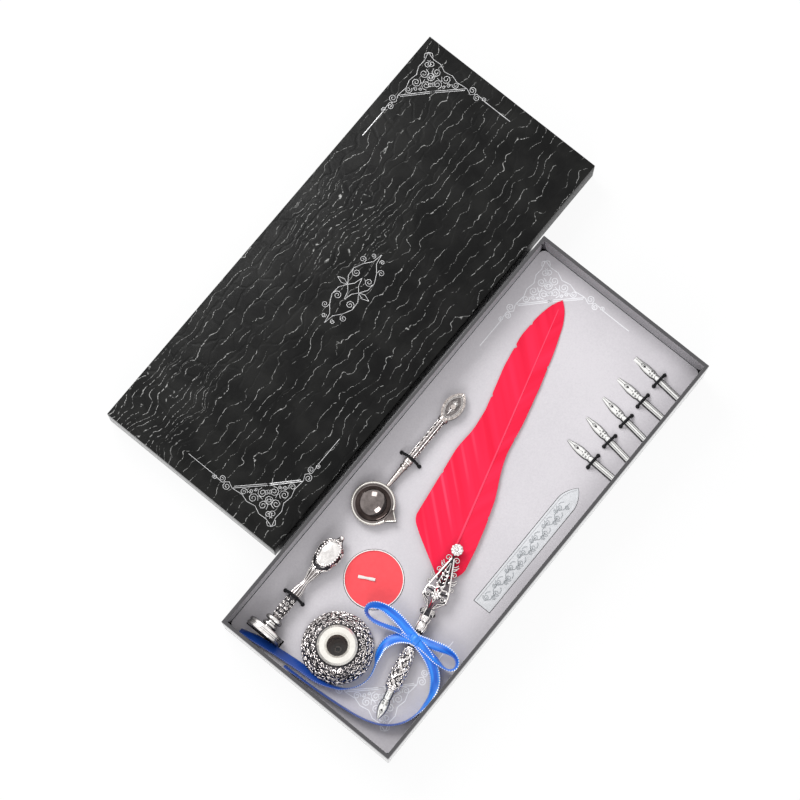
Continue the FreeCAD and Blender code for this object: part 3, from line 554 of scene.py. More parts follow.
def makeWellLining():  # dark cup; its floor is painted darker towards the middle as painted shade, and its pit is painted as a black dot of painted shade in a pale ring of painted highlight
    material, tree, shader = newMaterial("wellLining", {"Roughness": 0.22, "Coat Weight": 0.3})
    flat = put(tree, "VectorMath", {1: (1, 1, 0), 0: spotsOf(tree, "Object")}, operation="MULTIPLY").outputs[0]
    off = put(tree, "VectorMath", {1: wellFloor["middle"], 0: flat}, operation="DISTANCE").outputs["Value"]
    colour = mixColour(tree, ranged(tree, off, *wellFloor["floor"]), wellFloor["low"], wellFloor["wall"])
    for part, tint in (("ring", "bright"), ("pit", "black")):
        colour = mixColour(tree, ranged(tree, off, *wellFloor[part]), wellFloor[tint], colour)
    tree.links.new(colour, shader.inputs["Base Color"])
    return material


finishes["wellLining"] = makeWellLining()


braid = {"scale": 420, "dark": (0.003, 0.003, 0.004, 1), "light": (0.012, 0.012, 0.014, 1)}


def makeElastic():  # braided black cord in slanting stripes
    material, tree, shader = newMaterial("elasticBraid", {"Roughness": 0.7, "Specular IOR Level": 0.2})
    given = {"Scale": braid["scale"], "Distortion": 2.0, "Detail": 2, "Vector": spotsOf(tree, "Object")}
    weave = put(tree, "TexWave", given, wave_type="BANDS", bands_direction="DIAGONAL").outputs["Fac"]
    tree.links.new(mixColour(tree, weave, braid["dark"], braid["light"]), shader.inputs["Base Color"])
    bumpInto(tree, shader, weave, 0.5, 0.0003)
    return material


finishes["elasticBraid"] = makeElastic()

# back is the painted shade colour that the tails turn to
ribbonLook = {
    "bright": (0.03, 0.29, 0.92, 1), "deep": (0.007, 0.1, 0.58, 1), "back": (0.008, 0.06, 0.34, 1),
    "edge": (0.85, 0.88, 0.95, 1), "edgeWide": 0.11, "dots": 720, "shadeBlend": 0.03,
}


# v runs across the ribbon, u along it in metres; beyond a given length along it the ribbon is painted in shade,
# darker and with dimmer edge threads
def makeSatin(name, shadeFrom):
    material, tree, shader = newMaterial(name, {"Roughness": 0.36, "Sheen Weight": 0.35, "Sheen Roughness": 0.3})
    spots = spotsOf(tree, "UV")
    along, across = axesOf(tree, spots)[:2]
    threads = noise(tree, stretched(tree, spots, (45, 2.5, 1)), 1, 3)
    tone = ranged(tree, threads, 0.3, 0.7)
    colour = mixColour(tree, tone, ribbonLook["deep"], ribbonLook["bright"])
    inShade = ranged(tree, along, shadeFrom, shadeFrom + ribbonLook["shadeBlend"])
    colour = mixColour(tree, inShade, colour, ribbonLook["back"])
    middle = calc(tree, "SUBTRACT", across, 0.5)
    reach = calc(tree, "ABSOLUTE", middle)
    rim = calc(tree, "GREATER_THAN", reach, 0.5 - ribbonLook["edgeWide"])
    beat = calc(tree, "MULTIPLY", along, ribbonLook["dots"] * math.tau)
    wave = calc(tree, "SINE", beat)
    dotted = calc(tree, "GREATER_THAN", wave, -0.1)
    lurex = calc(tree, "MULTIPLY", rim, dotted)
    lurex = calc(tree, "MULTIPLY", lurex, ranged(tree, inShade, 0, 1, 1, 0.12))
    tree.links.new(mixColour(tree, lurex, colour, ribbonLook["edge"]), shader.inputs["Base Color"])
    tree.links.new(ranged(tree, lurex, 0, 1, 0, 0.4), shader.inputs["Metallic"])
    bumpInto(tree, shader, threads, 0.25, 0.0002)
    return material


finishes["satinLoop"] = makeSatin("satinLoop", 1.0)
# the tails are painted in shade from 40 mm along
finishes["satinTail"] = makeSatin("satinTail", 0.04)
print("finishes ready", len(finishes))


# camera, floor and light

view = {
    "place": (-0.2569, -0.1560, 1.8298), "lens": 130.6, "sensor": 36, "near": 0.01,
    "right": (0.634, -0.773, 0.0), "up": (0.7585, 0.6217, 0.195), "back": (-0.1508, -0.1236, 0.9808),
}
lamps = {
    "overhead": {"place": (0.35, 1.35, 1.25), "aim": (0.0, 0.05, 0.0), "size": 0.95, "watts": 22},
    "side": {"place": (-1.35, -0.75, 1.15), "aim": (0.0, 0.05, 0.0), "size": 0.85, "watts": 11},
}
room = {
    "high": 0.8, "horizon": 0.55, "rise": (0.45, 0.9), "floor": (0.9, 0.9, 0.91, 1), "floorSize": 12,
    "floorDrop": 0.0002, "floorGlow": 0.92, "gapSoft": 0.002,
}


def makeCamera():
    clearSelection()
    bpy.ops.object.camera_add()
    camera = bpy.context.object
    camera.name = "photoCamera"
    axes = Matrix((view["right"], view["up"], view["back"])).transposed()
    camera.matrix_world = Matrix.Translation(view["place"]) @ axes.to_4x4()
    camera.data.lens = view["lens"]
    camera.data.sensor_width = view["sensor"]
    camera.data.clip_start = view["near"]
    scene.camera = camera


def makeLamps():
    for name, lamp in lamps.items():
        clearSelection()
        bpy.ops.object.light_add(type="AREA", location=lamp["place"])
        light = bpy.context.object
        light.name = name
        way = Vector(lamp["aim"]) - Vector(lamp["place"])
        light.rotation_euler = way.to_track_quat("-Z", "Y").to_euler()
        light.data.size = lamp["size"]
        light.data.energy = lamp["watts"]


def seenRays(tree):  # one for rays from the camera, and for those that a mirror or glass sends on
    rays = put(tree, "LightPath").outputs
    sent = calc(tree, "MAXIMUM", rays["Is Glossy Ray"], rays["Is Transmission Ray"])
    return calc(tree, "MAXIMUM", rays["Is Camera Ray"], sent)


# one on the strip of floor between the tray and the lid, where the glow would hide their shadow
def gapShade(tree):
    trayHigh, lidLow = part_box("tray_wrap")[1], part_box("lid_wrap")[0]
    axes = axesOf(tree, spotsOf(tree, "Object"))
    soft = room["gapSoft"]
    shade = ranged(tree, axes["Y"], trayHigh[1] - soft, trayHigh[1])
    for axis, start, end in (("Y", lidLow[1] + soft, lidLow[1]), ("X", lidLow[0], lidLow[0] + 4 * soft),
                             ("X", trayHigh[0], trayHigh[0] - 4 * soft)):
        shade = calc(tree, "MULTIPLY", shade, ranged(tree, axes[axis], start, end))
    return shade


def makeRoom():
    world = bpy.data.worlds.new("studio")
    scene.world = world
    world.use_nodes = True
    tree = world.node_tree
    way = spotsOf(tree, "Generated")
    rise = axesOf(tree, way)["Z"]
    level = ranged(tree, rise, *room["rise"], room["horizon"], room["high"])
    white = put(tree, "MapRange", {4: 1.0, 0: seenRays(tree), 3: level})
    tree.links.new(white.outputs[0], tree.nodes["Background"].inputs["Strength"])
    tree.nodes["Background"].inputs["Color"].default_value = (1, 1, 1, 1)
    clearSelection()
    bpy.ops.mesh.primitive_plane_add(size=room["floorSize"], location=(0, 0, -room["floorDrop"]))
    floor = bpy.context.object
    floor.name = "floor"
    material, tree, shader = newMaterial("floorPaint", {"Base Color": room["floor"], "Roughness": 0.9})
    glow = put(tree, "Emission", {"Color": (1, 1, 1, 1), "Strength": 1})
    glowing = ranged(tree, gapShade(tree), 0, 1, room["floorGlow"], 0)
    seen = calc(tree, "MULTIPLY", seenRays(tree), glowing)
    both = put(tree, "MixShader", {0: seen, 1: shader.outputs[0], 2: glow.outputs[0]})
    tree.links.new(both.outputs[0], tree.nodes["Material Output"].inputs["Surface"])
    floor.data.materials.append(material)


makeCamera()
makeLamps()
makeRoom()
print("camera, lamps and floor ready")


# ribbon bow; routes in millimetres with a height for each point

ribbon = {
    "width": 7.0, "thick": 0.35, "cup": 0.5, "rows": 6,
    "tailLeft": {
        "route": [
            (-91.6, -31.4, 24.0), (-94.6, -25.4, 23.4), (-100.0, -20.6, 22.0), (-107.4, -18.6, 20.6),
            (-114.6, -20.6, 20.0), (-122.2, -24.4, 19.9), (-131.2, -25.4, 19.9), (-139.8, -21.0, 19.6),
            (-145.6, -13.0, 19.0), (-148.4, -1.6, 18.5), (-149.2, 13.0, 18.3), (-151.0, 29.0, 18.3),
            (-153.0, 44.0, 18.7), (-155.4, 56.6, 19.2),
        ],
        "roll": [(0, 84), (0.1, 78), (0.18, 46), (0.26, 10), (0.4, 4), (0.48, 22), (0.6, 58), (0.9, 58), (1, 30)],
    },
    "tailRight": {
        "route": [
            (-91.4, -33.0, 24.2), (-92.6, -40.6, 23.6), (-95.6, -49.0, 22.2), (-100.6, -56.4, 20.8),
            (-107.8, -61.4, 20.0), (-116.6, -62.9, 19.8), (-125.4, -62.6, 19.8), (-134.0, -60.2, 19.8),
            (-141.2, -54.9, 19.8), (-146.6, -47.3, 19.8), (-150.2, -36.3, 19.8), (-152.2, -22.1, 19.8),
            (-153.6, -7.4, 19.8), (-154.6, 8.0, 19.8), (-155.2, 20.9, 19.7),
        ],
        "roll": [(0, 86), (0.1, 84), (0.2, 66), (0.28, 32), (0.36, 12), (0.6, 12), (0.86, 14), (1, 20)],
        "pressed": ("pen_nib_pull", (-0.144, -0.047, 0.016), 0.65),  # nib-pull joint, a spot under the nib and a share; the script only gives this tail its own mesh
    },
    "loopLeft": {
        "route": [
            (-90.6, -31.4, 23.6), (-88.6, -22.0, 24.0), (-87.0, -11.4, 24.2), (-88.0, -1.8, 23.6),
            (-92.4, 4.2, 23.0), (-97.6, 3.2, 22.8), (-99.0, -4.0, 22.6), (-96.2, -13.0, 22.4),
            (-92.8, -21.6, 22.2), (-91.2, -31.4, 22.2),
        ],
        "roll": [(0, -84), (0.22, -70), (0.4, -38), (0.52, -22), (0.7, -30), (1, -45)],
    },
    "loopRight": {
        "route": [
            (-90.4, -33.0, 23.6), (-87.0, -43.0, 24.0), (-83.6, -52.4, 24.0), (-83.6, -60.0, 23.6),
            (-88.2, -63.6, 23.0), (-92.8, -61.4, 22.8), (-93.6, -54.6, 22.6), (-92.0, -45.4, 22.4),
            (-90.8, -33.0, 22.2),
        ],
        "roll": [(0, 62), (0.22, 54), (0.42, 20), (0.6, 16), (0.78, 46), (1, 58)],
    },
}


def routeLine(route):  # points along the smooth line that the route steers
    guide = steerCurve([[Vector(place) * mm for place in route]], True, 8)[0]
    bpy.context.view_layer.update()
    line = bpy.data.meshes.new_from_object(guide.evaluated_get(bpy.context.evaluated_depsgraph_get()))
    points = [point.co.copy() for point in line.vertices]
    bpy.data.objects.remove(guide)
    bpy.data.meshes.remove(line)
    return points


def makeRibbon(name, node, farEnd):
    look = ribbon[name]
    points = routeLine(look["route"])
    reached = [0]
    for a, b in zip(points, points[1:]):
        reached.append(reached[-1] + (b - a).length)
    length = reached[-1]
    half = ribbon["width"] * mm / 2
    rows = ribbon["rows"]
    mesh = bmesh.new()
    uv = mesh.loops.layers.uv.new("UVMap")
    grid = []
    for number, point in enumerate(points):
        tangent = (points[min(number + 1, len(points) - 1)] - points[max(number - 1, 0)]).normalized()
        side = Vector((0, 0, 1)).cross(tangent).normalized()
        up = tangent.cross(side)
        roll = math.radians(eased(look["roll"], reached[number] / length))
        wide = up * math.cos(roll) + side * math.sin(roll)
        out = wide.cross(tangent)
        line = []
        for row in range(rows + 1):
            across = 2 * row / rows - 1
            sink = ribbon["cup"] * mm * (across * across - 0.5)
            line.append(mesh.verts.new(point + wide * (half * across) + out * sink))
        grid.append(line)
    for number in range(len(points) - 1):
        for row in range(rows):
            corners = [(number, row), (number + 1, row), (number + 1, row + 1), (number, row + 1)]
            face = mesh.faces.new([grid[i][j] for i, j in corners])
            for loop, (i, j) in zip(face.loops, corners):
                loop[uv].uv = (reached[i], j / rows)
    piece = pieceOf(mesh, name)
    applyModifier(piece, "SOLIDIFY", thickness=ribbon["thick"] * mm, offset=0)
    applyModifier(piece, "SUBSURF", levels=1, render_levels=1)
    finishPiece(piece, name, "pen", "satinTail" if farEnd == "bare" else "satinLoop")
    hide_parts(node)
    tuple(points[0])
    if "pressed" in look:
        joint, anchor, keep = look["pressed"]
        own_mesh(piece)
        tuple(anchor)


for name, node, farEnd in (
    ("tailLeft", "ribbon_tail_left", "bare"), ("tailRight", "ribbon_tail_right", "bare"),
    ("loopLeft", "ribbon_loop_left", "object"), ("loopRight", "ribbon_loop_right", "object"),
):
    makeRibbon(name, node, farEnd)
print("ribbon laid")


def dress(finish, *names):
    for name in names:
        mesh = nodes[name].data
        mesh.materials.clear()
        mesh.materials.append(finishes[finish])


# knot of the bow: a padded turn of ribbon pulled in by its folds

knot = {"folds": 5, "foldDeep": 0.09, "square": 0.75, "around": 40, "rows": 22}


def makeKnot():
    low, high = (Vector(corner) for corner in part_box("ribbon_knot"))
    centre, half = (low + high) / 2, (high - low) / 2

    def spotOf(along, across):
        turn = math.tau * along
        tilt = math.pi * (across - 0.5)
        ring = max(math.cos(tilt), 0.0) ** knot["square"]
        crease = 1 - knot["foldDeep"] * (0.5 + 0.5 * math.cos(math.tau * knot["folds"] * across))
        x, y = math.cos(turn), math.sin(turn)
        x = math.copysign(abs(x) ** knot["square"], x)
        y = math.copysign(abs(y) ** knot["square"], y)
        return centre + Vector((half.x * ring * x, half.y * math.sin(tilt), half.z * ring * y)) * crease

    piece = formGrid(knot["around"], knot["rows"], spotOf)
    for loop in piece.data.uv_layers[0].data:
        loop.uv.x *= 0.02
    closeSeams(piece)
    finishPiece(piece, "knot", "pen", "satinLoop", 70)
    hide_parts("ribbon_knot")


makeKnot()


# feather: two halves of barbs on a shaft

feather = {
    "start": (-75.38, -28.18), "way": (0.96112, 0.27614), "top": 19.75, "drop": 3.25, "long": 222.5,
    "wide": 44,
    "outer": [
        (0.1, 0.0), (0.161, 0.31), (0.208, 0.55), (0.247, 0.716), (0.35, 0.645), (0.483, 0.555),
        (0.547, 0.445), (0.612, 0.395), (0.753, 0.4), (0.857, 0.35), (0.931, 0.232), (0.975, 0.12),
        (1.0, 0.0),
    ],
    "inner": [
        (0.1, 0.0), (0.153, 0.25), (0.23, 0.275), (0.305, 0.273), (0.389, 0.245), (0.468, 0.164),
        (0.519, 0.14), (0.621, 0.186), (0.742, 0.198), (0.851, 0.186), (0.935, 0.15), (0.978, 0.085),
        (1.0, 0.0),
    ],
    "outerNotches": [(0.4, 0.03, 0.006), (0.66, 0.05, 0.006), (0.82, 0.08, 0.007), (0.9, 0.07, 0.005)],
    "innerNotches": [(0.33, 0.05, 0.005), (0.57, 0.06, 0.005), (0.8, 0.08, 0.006)], "camber": 0.45,
    "ripple": 0.1, "slope": 1.5, "thick": 0.16, "barbs": 9000, "shaft": (1.0, 0.3), "bare": 0.1,
    "soften": 0.012, "rows": (260, 24), "deep": (0.8, 0.011, 0.048, 1), "light": (0.91, 0.024, 0.078, 1),
    "pale": (0.95, 0.075, 0.15, 1), "fold": 0.0145,
}


def between(pairs, at):
    for (a, low), (b, high) in zip(pairs, pairs[1:]):
        if at <= b:
            return low + (high - low) * (at - a) / (b - a)
    return pairs[-1][1]


def edgeReach(edge, notches, share):
    spots = (min(max(share + step * feather["soften"], feather["bare"]), 1.0) for step in (-1, 0, 1))
    near = sum(between(feather[edge], spot) for spot in spots) / 3
    reach = near if feather["bare"] + 0.01 < share < 0.99 else between(feather[edge], share)
    for place, deep, wide in feather[notches]:
        reach *= 1 - deep * max(0.0, 1 - abs(share - place) / wide)
    return reach


def makeFeatherMaterial():
    material, tree, shader = newMaterial("redBarbs", {"Roughness": 0.6, "Specular IOR Level": 0.12})
    spots = spotsOf(tree, "UV")
    axes = axesOf(tree, spots)
    beat = calc(tree, "MULTIPLY", axes["X"], feather["barbs"])
    comb = calc(tree, "SINE", beat)
    comb = ranged(tree, comb, -1, 1)
    streak = noise(tree, stretched(tree, spots, (70, 9, 1)), 1, 2)
    tone = ranged(tree, streak, 0.3, 0.7)
    colour = mixColour(tree, tone, feather["deep"], feather["light"])
    # painted highlight: pale streaks on the lower outer barbs, where their folds catch the light
    lower = ranged(tree, axes["X"], 0.13, 0.06)
    outer = ranged(tree, axes["Y"], 0.104, 0.118)
    fold = calc(tree, "MULTIPLY", axes["X"], math.tau / feather["fold"])
    fold = ranged(tree, calc(tree, "SINE", fold), 0.6, 1)
    ridgeLight = calc(tree, "MULTIPLY", lower, outer)
    ridgeLight = calc(tree, "MULTIPLY", ridgeLight, fold)
    ridgeLight = calc(tree, "MULTIPLY", ridgeLight, tone)
    colour = mixColour(tree, ridgeLight, colour, feather["pale"])
    dark = calc(tree, "MULTIPLY", comb, 0.2)
    tree.links.new(mixColour(tree, dark, colour, feather["deep"]), shader.inputs["Base Color"])
    bumpInto(tree, shader, comb, 0.25, 0.0001)
    return material


def flatAxes(x, y):  # along a piece that points to (x, y), and to its left
    return Vector((x, y, 0)), Vector((-y, x, 0))


def featherSpot(share, across, lift):
    along, side = flatAxes(*feather["way"])
    base = Vector((*feather["start"], feather["top"] - feather["drop"] * share + lift))
    return (base + along * (share * feather["long"]) + side * across) * mm


def makeVane():
    def spotOf(alongShare, acrossShare):
        share = feather["bare"] + (1 - feather["bare"]) * alongShare
        t = 2 * acrossShare - 1
        reach = edgeReach("outer", "outerNotches", share) if t > 0 else edgeReach("inner", "innerNotches", share)
        across = t * reach * feather["wide"]
        comb = share * feather["long"] - abs(across) * feather["slope"]
        wave = math.sin(comb * 0.55) + 0.6 * math.sin(comb * 0.21 + 1)
        lift = feather["ripple"] * wave * abs(t) - feather["camber"] * t * t * (1 - share)
        return featherSpot(share, across, lift)

    piece = formGrid(*feather["rows"], spotOf)
    axis, side = flatAxes(*feather["way"])
    start = Vector((*feather["start"], 0)) * mm
    layer = piece.data.uv_layers[0].data
    for loop in piece.data.loops:
        place = piece.data.vertices[loop.vertex_index].co - start
        across = place.dot(side)
        layer[loop.index].uv = (place.dot(axis) - abs(across) * feather["slope"], across + 0.1)
    applyModifier(piece, "SOLIDIFY", thickness=feather["thick"] * mm, offset=0)
    finishPiece(piece, "vane", "pen", "redBarbs", 75)
    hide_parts("feather_vane")


def makeShaft():
    thick, thin = feather["shaft"]

    def spotOf(along, turn):
        share = 0.97 * along
        across, rise = around(thick + (thin - thick) * share, turn)
        return featherSpot(share, across, rise * 0.8)

    piece = sleeve(spotOf, 80, 12)
    finishPiece(piece, "shaft", "pen", "quillShaft", 70)
    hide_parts("feather_quill")


finishes["redBarbs"] = makeFeatherMaterial()
makeVane()
makeShaft()
print("feather and knot made")


# box: papered trays with eased edges, and silver corner scrolls

box = {
    "ease": 0.5, "linerTop": 16.0, "foilWire": 0.3, "inkWire": 0.3, "inkFlat": 0.25, "edgeWire": 0.3,
    "linerCorner": 4.0, "lidShift": (1.5, 4.5), "linerShift": (5.5, 4.5),
}
corner = [
    [(10.6, 10.6), (12.2, 16.5), (11.8, 22), (14.2, 27), (13, 33), (14.6, 38), (13.7, 45.6)],
    [(13.7, 45.6), (30.5, 28.0)], [(15.5, 45.2), (31.2, 28.9)], spiral(15.2, 17.2, 2.6, 0.5, -2.2, 1.5),
    spiral(17.6, 23.5, 3.3, 0.6, -1.8, 1.7), spiral(17.2, 31.2, 3.4, 0.6, -1.4, 1.7),
    spiral(16.6, 38.4, 2.5, 0.5, -1.2, 1.5), spiral(23.6, 28.8, 3.3, 0.6, 0.8, 1.7),
    spiral(22.2, 22.2, 3.0, 0.6, 0.8, 1.5), spiral(27.2, 25.6, 1.9, 0.4, 1.8, 1.3),
    spiral(19.8, 35.2, 1.5, 0.3, 2.4, 1.3), spiral(22.6, 33.4, 1.2, 0.3, 2.4, 1.3),
    spiral(12.4, 49, 2.6, 0.5, 1.2, 1.5), spiral(14.6, 54.4, 2.2, 0.4, -2.0, 1.5),
    spiral(12.6, 58.6, 1.6, 0.3, 1.4, 1.4),
    [(13.7, 45.6), (15.6, 49.6), (12.6, 53), (12.8, 56.6), (13.4, 60.4)], [(13.2, 60.4), (13.2, 81)],
    [(10.6, 10.6), (9.4, 13), (11.2, 15.2)], [(20.4, 26.2), (20.8, 28.6), (19.8, 30.6)],
]
fleuron = [
    [(0, 4.5), (5, 8), (11, 8.4), (17, 5.4), (22, 1.2), (29, 0)], [(0, 4.5), (3.4, 1.6), (9, 0)],
    spiral(9.6, 5.2, 3, 0.5, 1.4, 1.6), spiral(19, 7.6, 2.4, 0.4, 4.2, 1.5),
    spiral(25, 3.6, 1.7, 0.3, 3.8, 1.4), [(0, 4.5), (1.6, 8.5), (0, 13), (0, 13)],
]


def placedLines(lines, x, y, signX, signY, top):
    return [[((x + signX * p) * mm, (y + signY * q) * mm, top * mm) for p, q in line] for line in lines]


def cornerScrolls(low, high, shift, top):
    lines = corner + [[(q, p) for p, q in line] for line in corner]
    far = placedLines(lines, high.x + shift[0], high.y + shift[1], -1, -1, top)
    return placedLines(lines, low.x, low.y, 1, 1, top) + far


def makeBox():
    lidLow, lidHigh = (Vector(spot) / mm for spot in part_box("lid_wrap"))
    linerLow, linerHigh = (Vector(spot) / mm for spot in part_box("insert_card"))
    for node, name, body, finish in (
        ("lid_wrap", "lidPaper", "lid", "scalyPaper"), ("tray_wrap", "trayPaper", "tray", "wallPaper"),
    ):
        piece = softCopy(node, box["ease"] * mm)
        finishPiece(piece, name, body, finish, 30)
        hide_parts(node)
    foil = wireMesh(cornerScrolls(lidLow, lidHigh, box["lidShift"], lidHigh.z), box["foilWire"])
    middle = (lidLow + lidHigh) / 2
    marks = []
    for signX in (1, -1):
        for signY in (1, -1):
            marks += placedLines(fleuron, middle.x, middle.y, signX, signY, lidHigh.z)
    foil = joinPieces(foil, wireMesh(marks, box["foilWire"]))
    finishPiece(foil, "lidScrolls", "lid", "foilSilver")
    ink = wireMesh(cornerScrolls(linerLow, linerHigh, box["linerShift"], box["linerTop"]), box["inkWire"])
    for point in ink.data.vertices:
        point.co.z = box["linerTop"] * mm + (point.co.z - box["linerTop"] * mm) * box["inkFlat"]
    finishPiece(ink, "linerScrolls", "tray", "paleInk")
    inset, rounding = box["linerCorner"], []
    for number, (signX, signY) in enumerate(((1, 1), (-1, 1), (-1, -1), (1, -1))):
        x, y = (linerHigh if signX > 0 else linerLow).x, (linerHigh if signY > 0 else linerLow).y
        for step in range(7):
            turn = math.pi / 2 * (number + step / 6)
            reach = (inset * (math.cos(turn) - signX), inset * (math.sin(turn) - signY))
            spot = Vector((x + reach[0], y + reach[1], box["linerTop"] - box["edgeWire"]))
            rounding.append(spot * mm)
    edge = wireMesh([rounding + rounding[:1]], box["edgeWire"])
    finishPiece(edge, "linerEdge", "tray", "paleInk")


makeBox()
dress("greyBoard", "tray_board", "lid_board")
dress("foamCore", "insert_foam")
dress("linerPaper", "insert_card")
print("box papered")


# pen holder: scrolls raised on the grip and rounded wires on the openwork plate

pen = {
    "place": (-144.26, -45.42, 21.1), "way": (0.97008, 0.24277), "gripAt": 20.4, "gripLong": 30.0,
    "slim": 2.4, "swell": 2.6, "gripShape": [(0, 0.62), (0.1, 0.86), (0.33, 1.0), (0.68, 0.72), (1, 0.0)],
    "waistAt": 50.4,
    "neckShape": [(0, 2.4), (0.42, 2.4), (0.66, 3.36), (0.71, 3.36), (0.78, 2.94), (0.88, 3.54), (1, 3.6)],
    "plateAt": 71.0, "plateLong": 46.0, "plateWide": 7.9, "plateTop": 1.6,
    "edge": [(0.87, 0.1), (0.38, 0.95), (0.26, 1.0), (0.21, 0.42), (0.12, 0.2), (0.0, 0.27)],
    "rosetteAt": 117.0, "rosetteHigh": 2.8, "gripWire": 0.48, "plateWire": 0.42, "frameWire": 0.62,
    "strands": 3, "strandSteps": 40, "strandApart": 2.094, "strandTwist": 5.2, "curlRows": 11,
    "curlPitch": 2.45, "curls": 7, "flutes": 8, "petals": 8, "leaves": 5, "rosettePetals": 10,
    "wing": [(0.38, 0.95), (0.42, 0.62), (0.41, 0.3), (0.45, 0.0)],
    "lowScroll": [(0.26, 1.0), (0.19, 0.62), (0.12, 0.2), (0.06, 0.42), (0.02, 0.52)],
    "stem": [(0.2, 0.0), (0.33, 0.2), (0.47, 0.3), (0.62, 0.22), (0.8, 0.03)],
    "buds": [(0.47, 0.3), (0.62, 0.22), (0.4, 0.75), (0.3, 0.85), (0.55, 0.55)],
    "sideScrolls": [(0.02, 2.2), (0.42, 1.8), (0.84, 1.5)],
    "sprigs": [(0.0, 0.36), (0.05, 0.42), (0.1, 0.32)],
}


def penSpot(u, v, h):
    way, side = flatAxes(*pen["way"])
    return (Vector(pen["place"]) + way * u + side * v + Vector((0, 0, h))) * mm


def gripRadius(u):
    return pen["slim"] + pen["swell"] * eased(pen["gripShape"], (u - pen["gripAt"]) / pen["gripLong"])


def aroundGrip(u, turn):
    radius = gripRadius(u) + 0.05
    return penSpot(u, *around(radius, turn))


def makeGripScrolls():
    lines = []
    start, end = pen["gripAt"] + 1.2, pen["gripAt"] + pen["gripLong"] - 1.5
    steps = pen["strandSteps"]
    for way in (1, -1):
        for strand in range(pen["strands"]):
            line = []
            for step in range(steps + 1):
                turn = strand * pen["strandApart"] + step / steps * pen["strandTwist"]
                line.append(aroundGrip(start + (end - start) * step / steps, way * turn))
            lines.append(line)
    for row in range(pen["curlRows"]):
        u = start + 1.0 + row * pen["curlPitch"]
        for number in range(pen["curls"]):
            middle = math.tau * (number + 0.5 * (row % 2)) / pen["curls"]
            size = 1.0 + 0.55 * (gripRadius(u) - pen["slim"]) / pen["swell"]
            curl = spiral(0, 0, size, 0.3, 1.5 * (number + row), 1.4 * (-1) ** number, 12)
            lines.append([aroundGrip(u + p, middle + q / gripRadius(u)) for p, q in curl])
    for u in (pen["gripAt"] + 0.5, pen["gripAt"] + 1.7, end):
        lines.append([aroundGrip(u, turn) for turn in ringTurns])
    piece = wireMesh(lines, pen["gripWire"])
    finishPiece(piece, "gripScrolls", "pen", "reliefSilver")


def makeNeck():  # silver waist and neck between the grip and the plate
    long = pen["plateAt"] - pen["waistAt"]

    def spotOf(along, turn):
        radius = eased(pen["neckShape"], along) + 0.03
        return penSpot(pen["waistAt"] + along * long, *around(radius, turn))

    piece = sleeve(spotOf, 48)
    flutes = []
    for number in range(pen["flutes"]):
        turn = math.tau * number / pen["flutes"]
        flutes.append([spotOf(0.5 + 0.46 * step / 12, turn + 0.05 * step) for step in range(13)])
    finishPiece(piece, "neckSleeve", "pen", "sealPlate")
    leaves = wireMesh(flutes, pen["plateWire"])
    finishPiece(leaves, "neckLeaves", "pen", "reliefSilver")


def plateSpot(share, wide, lift=0.0):
    return penSpot(pen["plateAt"] + share * pen["plateLong"], wide * pen["plateWide"], pen["plateTop"] + lift)


def plateLine(points, sign):
    return [plateSpot(share, wide * sign) for share, wide in points]


def plateCurl(share, wide, curl):  # a curl in millimetres, laid on the plate
    return [plateSpot(share + p / pen["plateLong"], wide + q / pen["plateWide"]) for p, q in curl]


def makeFiligree():
    lines, frame, balls = [], [], []
    turn = math.atan2(pen["way"][1], pen["way"][0])
    for sign in (1, -1):
        lines.append(plateLine(pen["edge"], sign))
        first, second = (Vector((share, wide * sign)) for share, wide in pen["edge"][:2])
        for at, size in pen["sideScrolls"]:
            root = first.lerp(second, at)
            bearing = math.pi / 2 * sign
            curl = spiral(0, size * 0.9 * sign, size, 0.45, -bearing, 1.2 * sign, 13)
            lines.append(plateCurl(root.x, root.y, curl))
        frame += [plateLine(pen["edge"][:3], sign), plateLine(pen["wing"], sign)]
        for at in (0.22, 0.63):
            for step, reach in pen["sprigs"]:
                root = first.lerp(second, at + step)
                bend = [(0.0, 0.0), (0.008, reach * 0.5), (0.03, reach * 0.85), (0.05, reach)]
                lines.append([plateSpot(root.x + p, root.y + q * sign) for p, q in bend])
        lines.append(plateLine(pen["lowScroll"], sign))
        lines.append(plateCurl(0.07, 0.42 * sign, spiral(0, 0, 1.5, 0.4, 0.5 * sign, -1.3 * sign, 12)))
        lines.append(plateCurl(0.29, 0.6 * sign, spiral(0, 0, 2.1, 0.5, -1.2 * sign, 1.4 * sign, 13)))
        lines.append(plateLine(pen["stem"], sign))
        for share, wide in pen["buds"]:
            balls.append((plateSpot(share, wide * sign, 0.05), (1.3, 0.6, 0.45, turn + 0.5 * sign)))
    for petal in range(pen["petals"]):
        bearing = petal * math.tau / pen["petals"]
        p, q = around(2.1, bearing)
        spot = plateSpot(0.33 + p / pen["plateLong"], q / pen["plateWide"], 0.1)
        balls.append((spot, (1.4, 0.7, 0.5, turn + bearing)))
    balls.append((plateSpot(0.33, 0.0, 0.3), (0.9, 0.9, 0.6)))
    for leaf in range(pen["leaves"]):
        for sign in (1, -1):
            spot = plateSpot(0.46 + 0.055 * leaf, (0.2 - 0.025 * leaf) * sign, 0.05)
            balls.append((spot, (1.3, 0.5, 0.45, turn + 0.7 * sign)))
    for petal in range(pen["rosettePetals"]):
        bearing = petal * math.tau / pen["rosettePetals"]
        p, q = around(2.4, bearing)
        balls.append((penSpot(pen["rosetteAt"] + p, q, pen["rosetteHigh"]), (1.6, 0.62, 0.55, turn + bearing)))
    balls.append((penSpot(pen["rosetteAt"], 0, pen["rosetteHigh"] + 0.5), (0.9, 0.9, 0.7)))
    piece = joinPieces(wireMesh(lines, pen["plateWire"]), wireMesh(frame, pen["frameWire"], 2), beads(balls))
    finishPiece(piece, "filigreeWires", "pen", "reliefSilver")


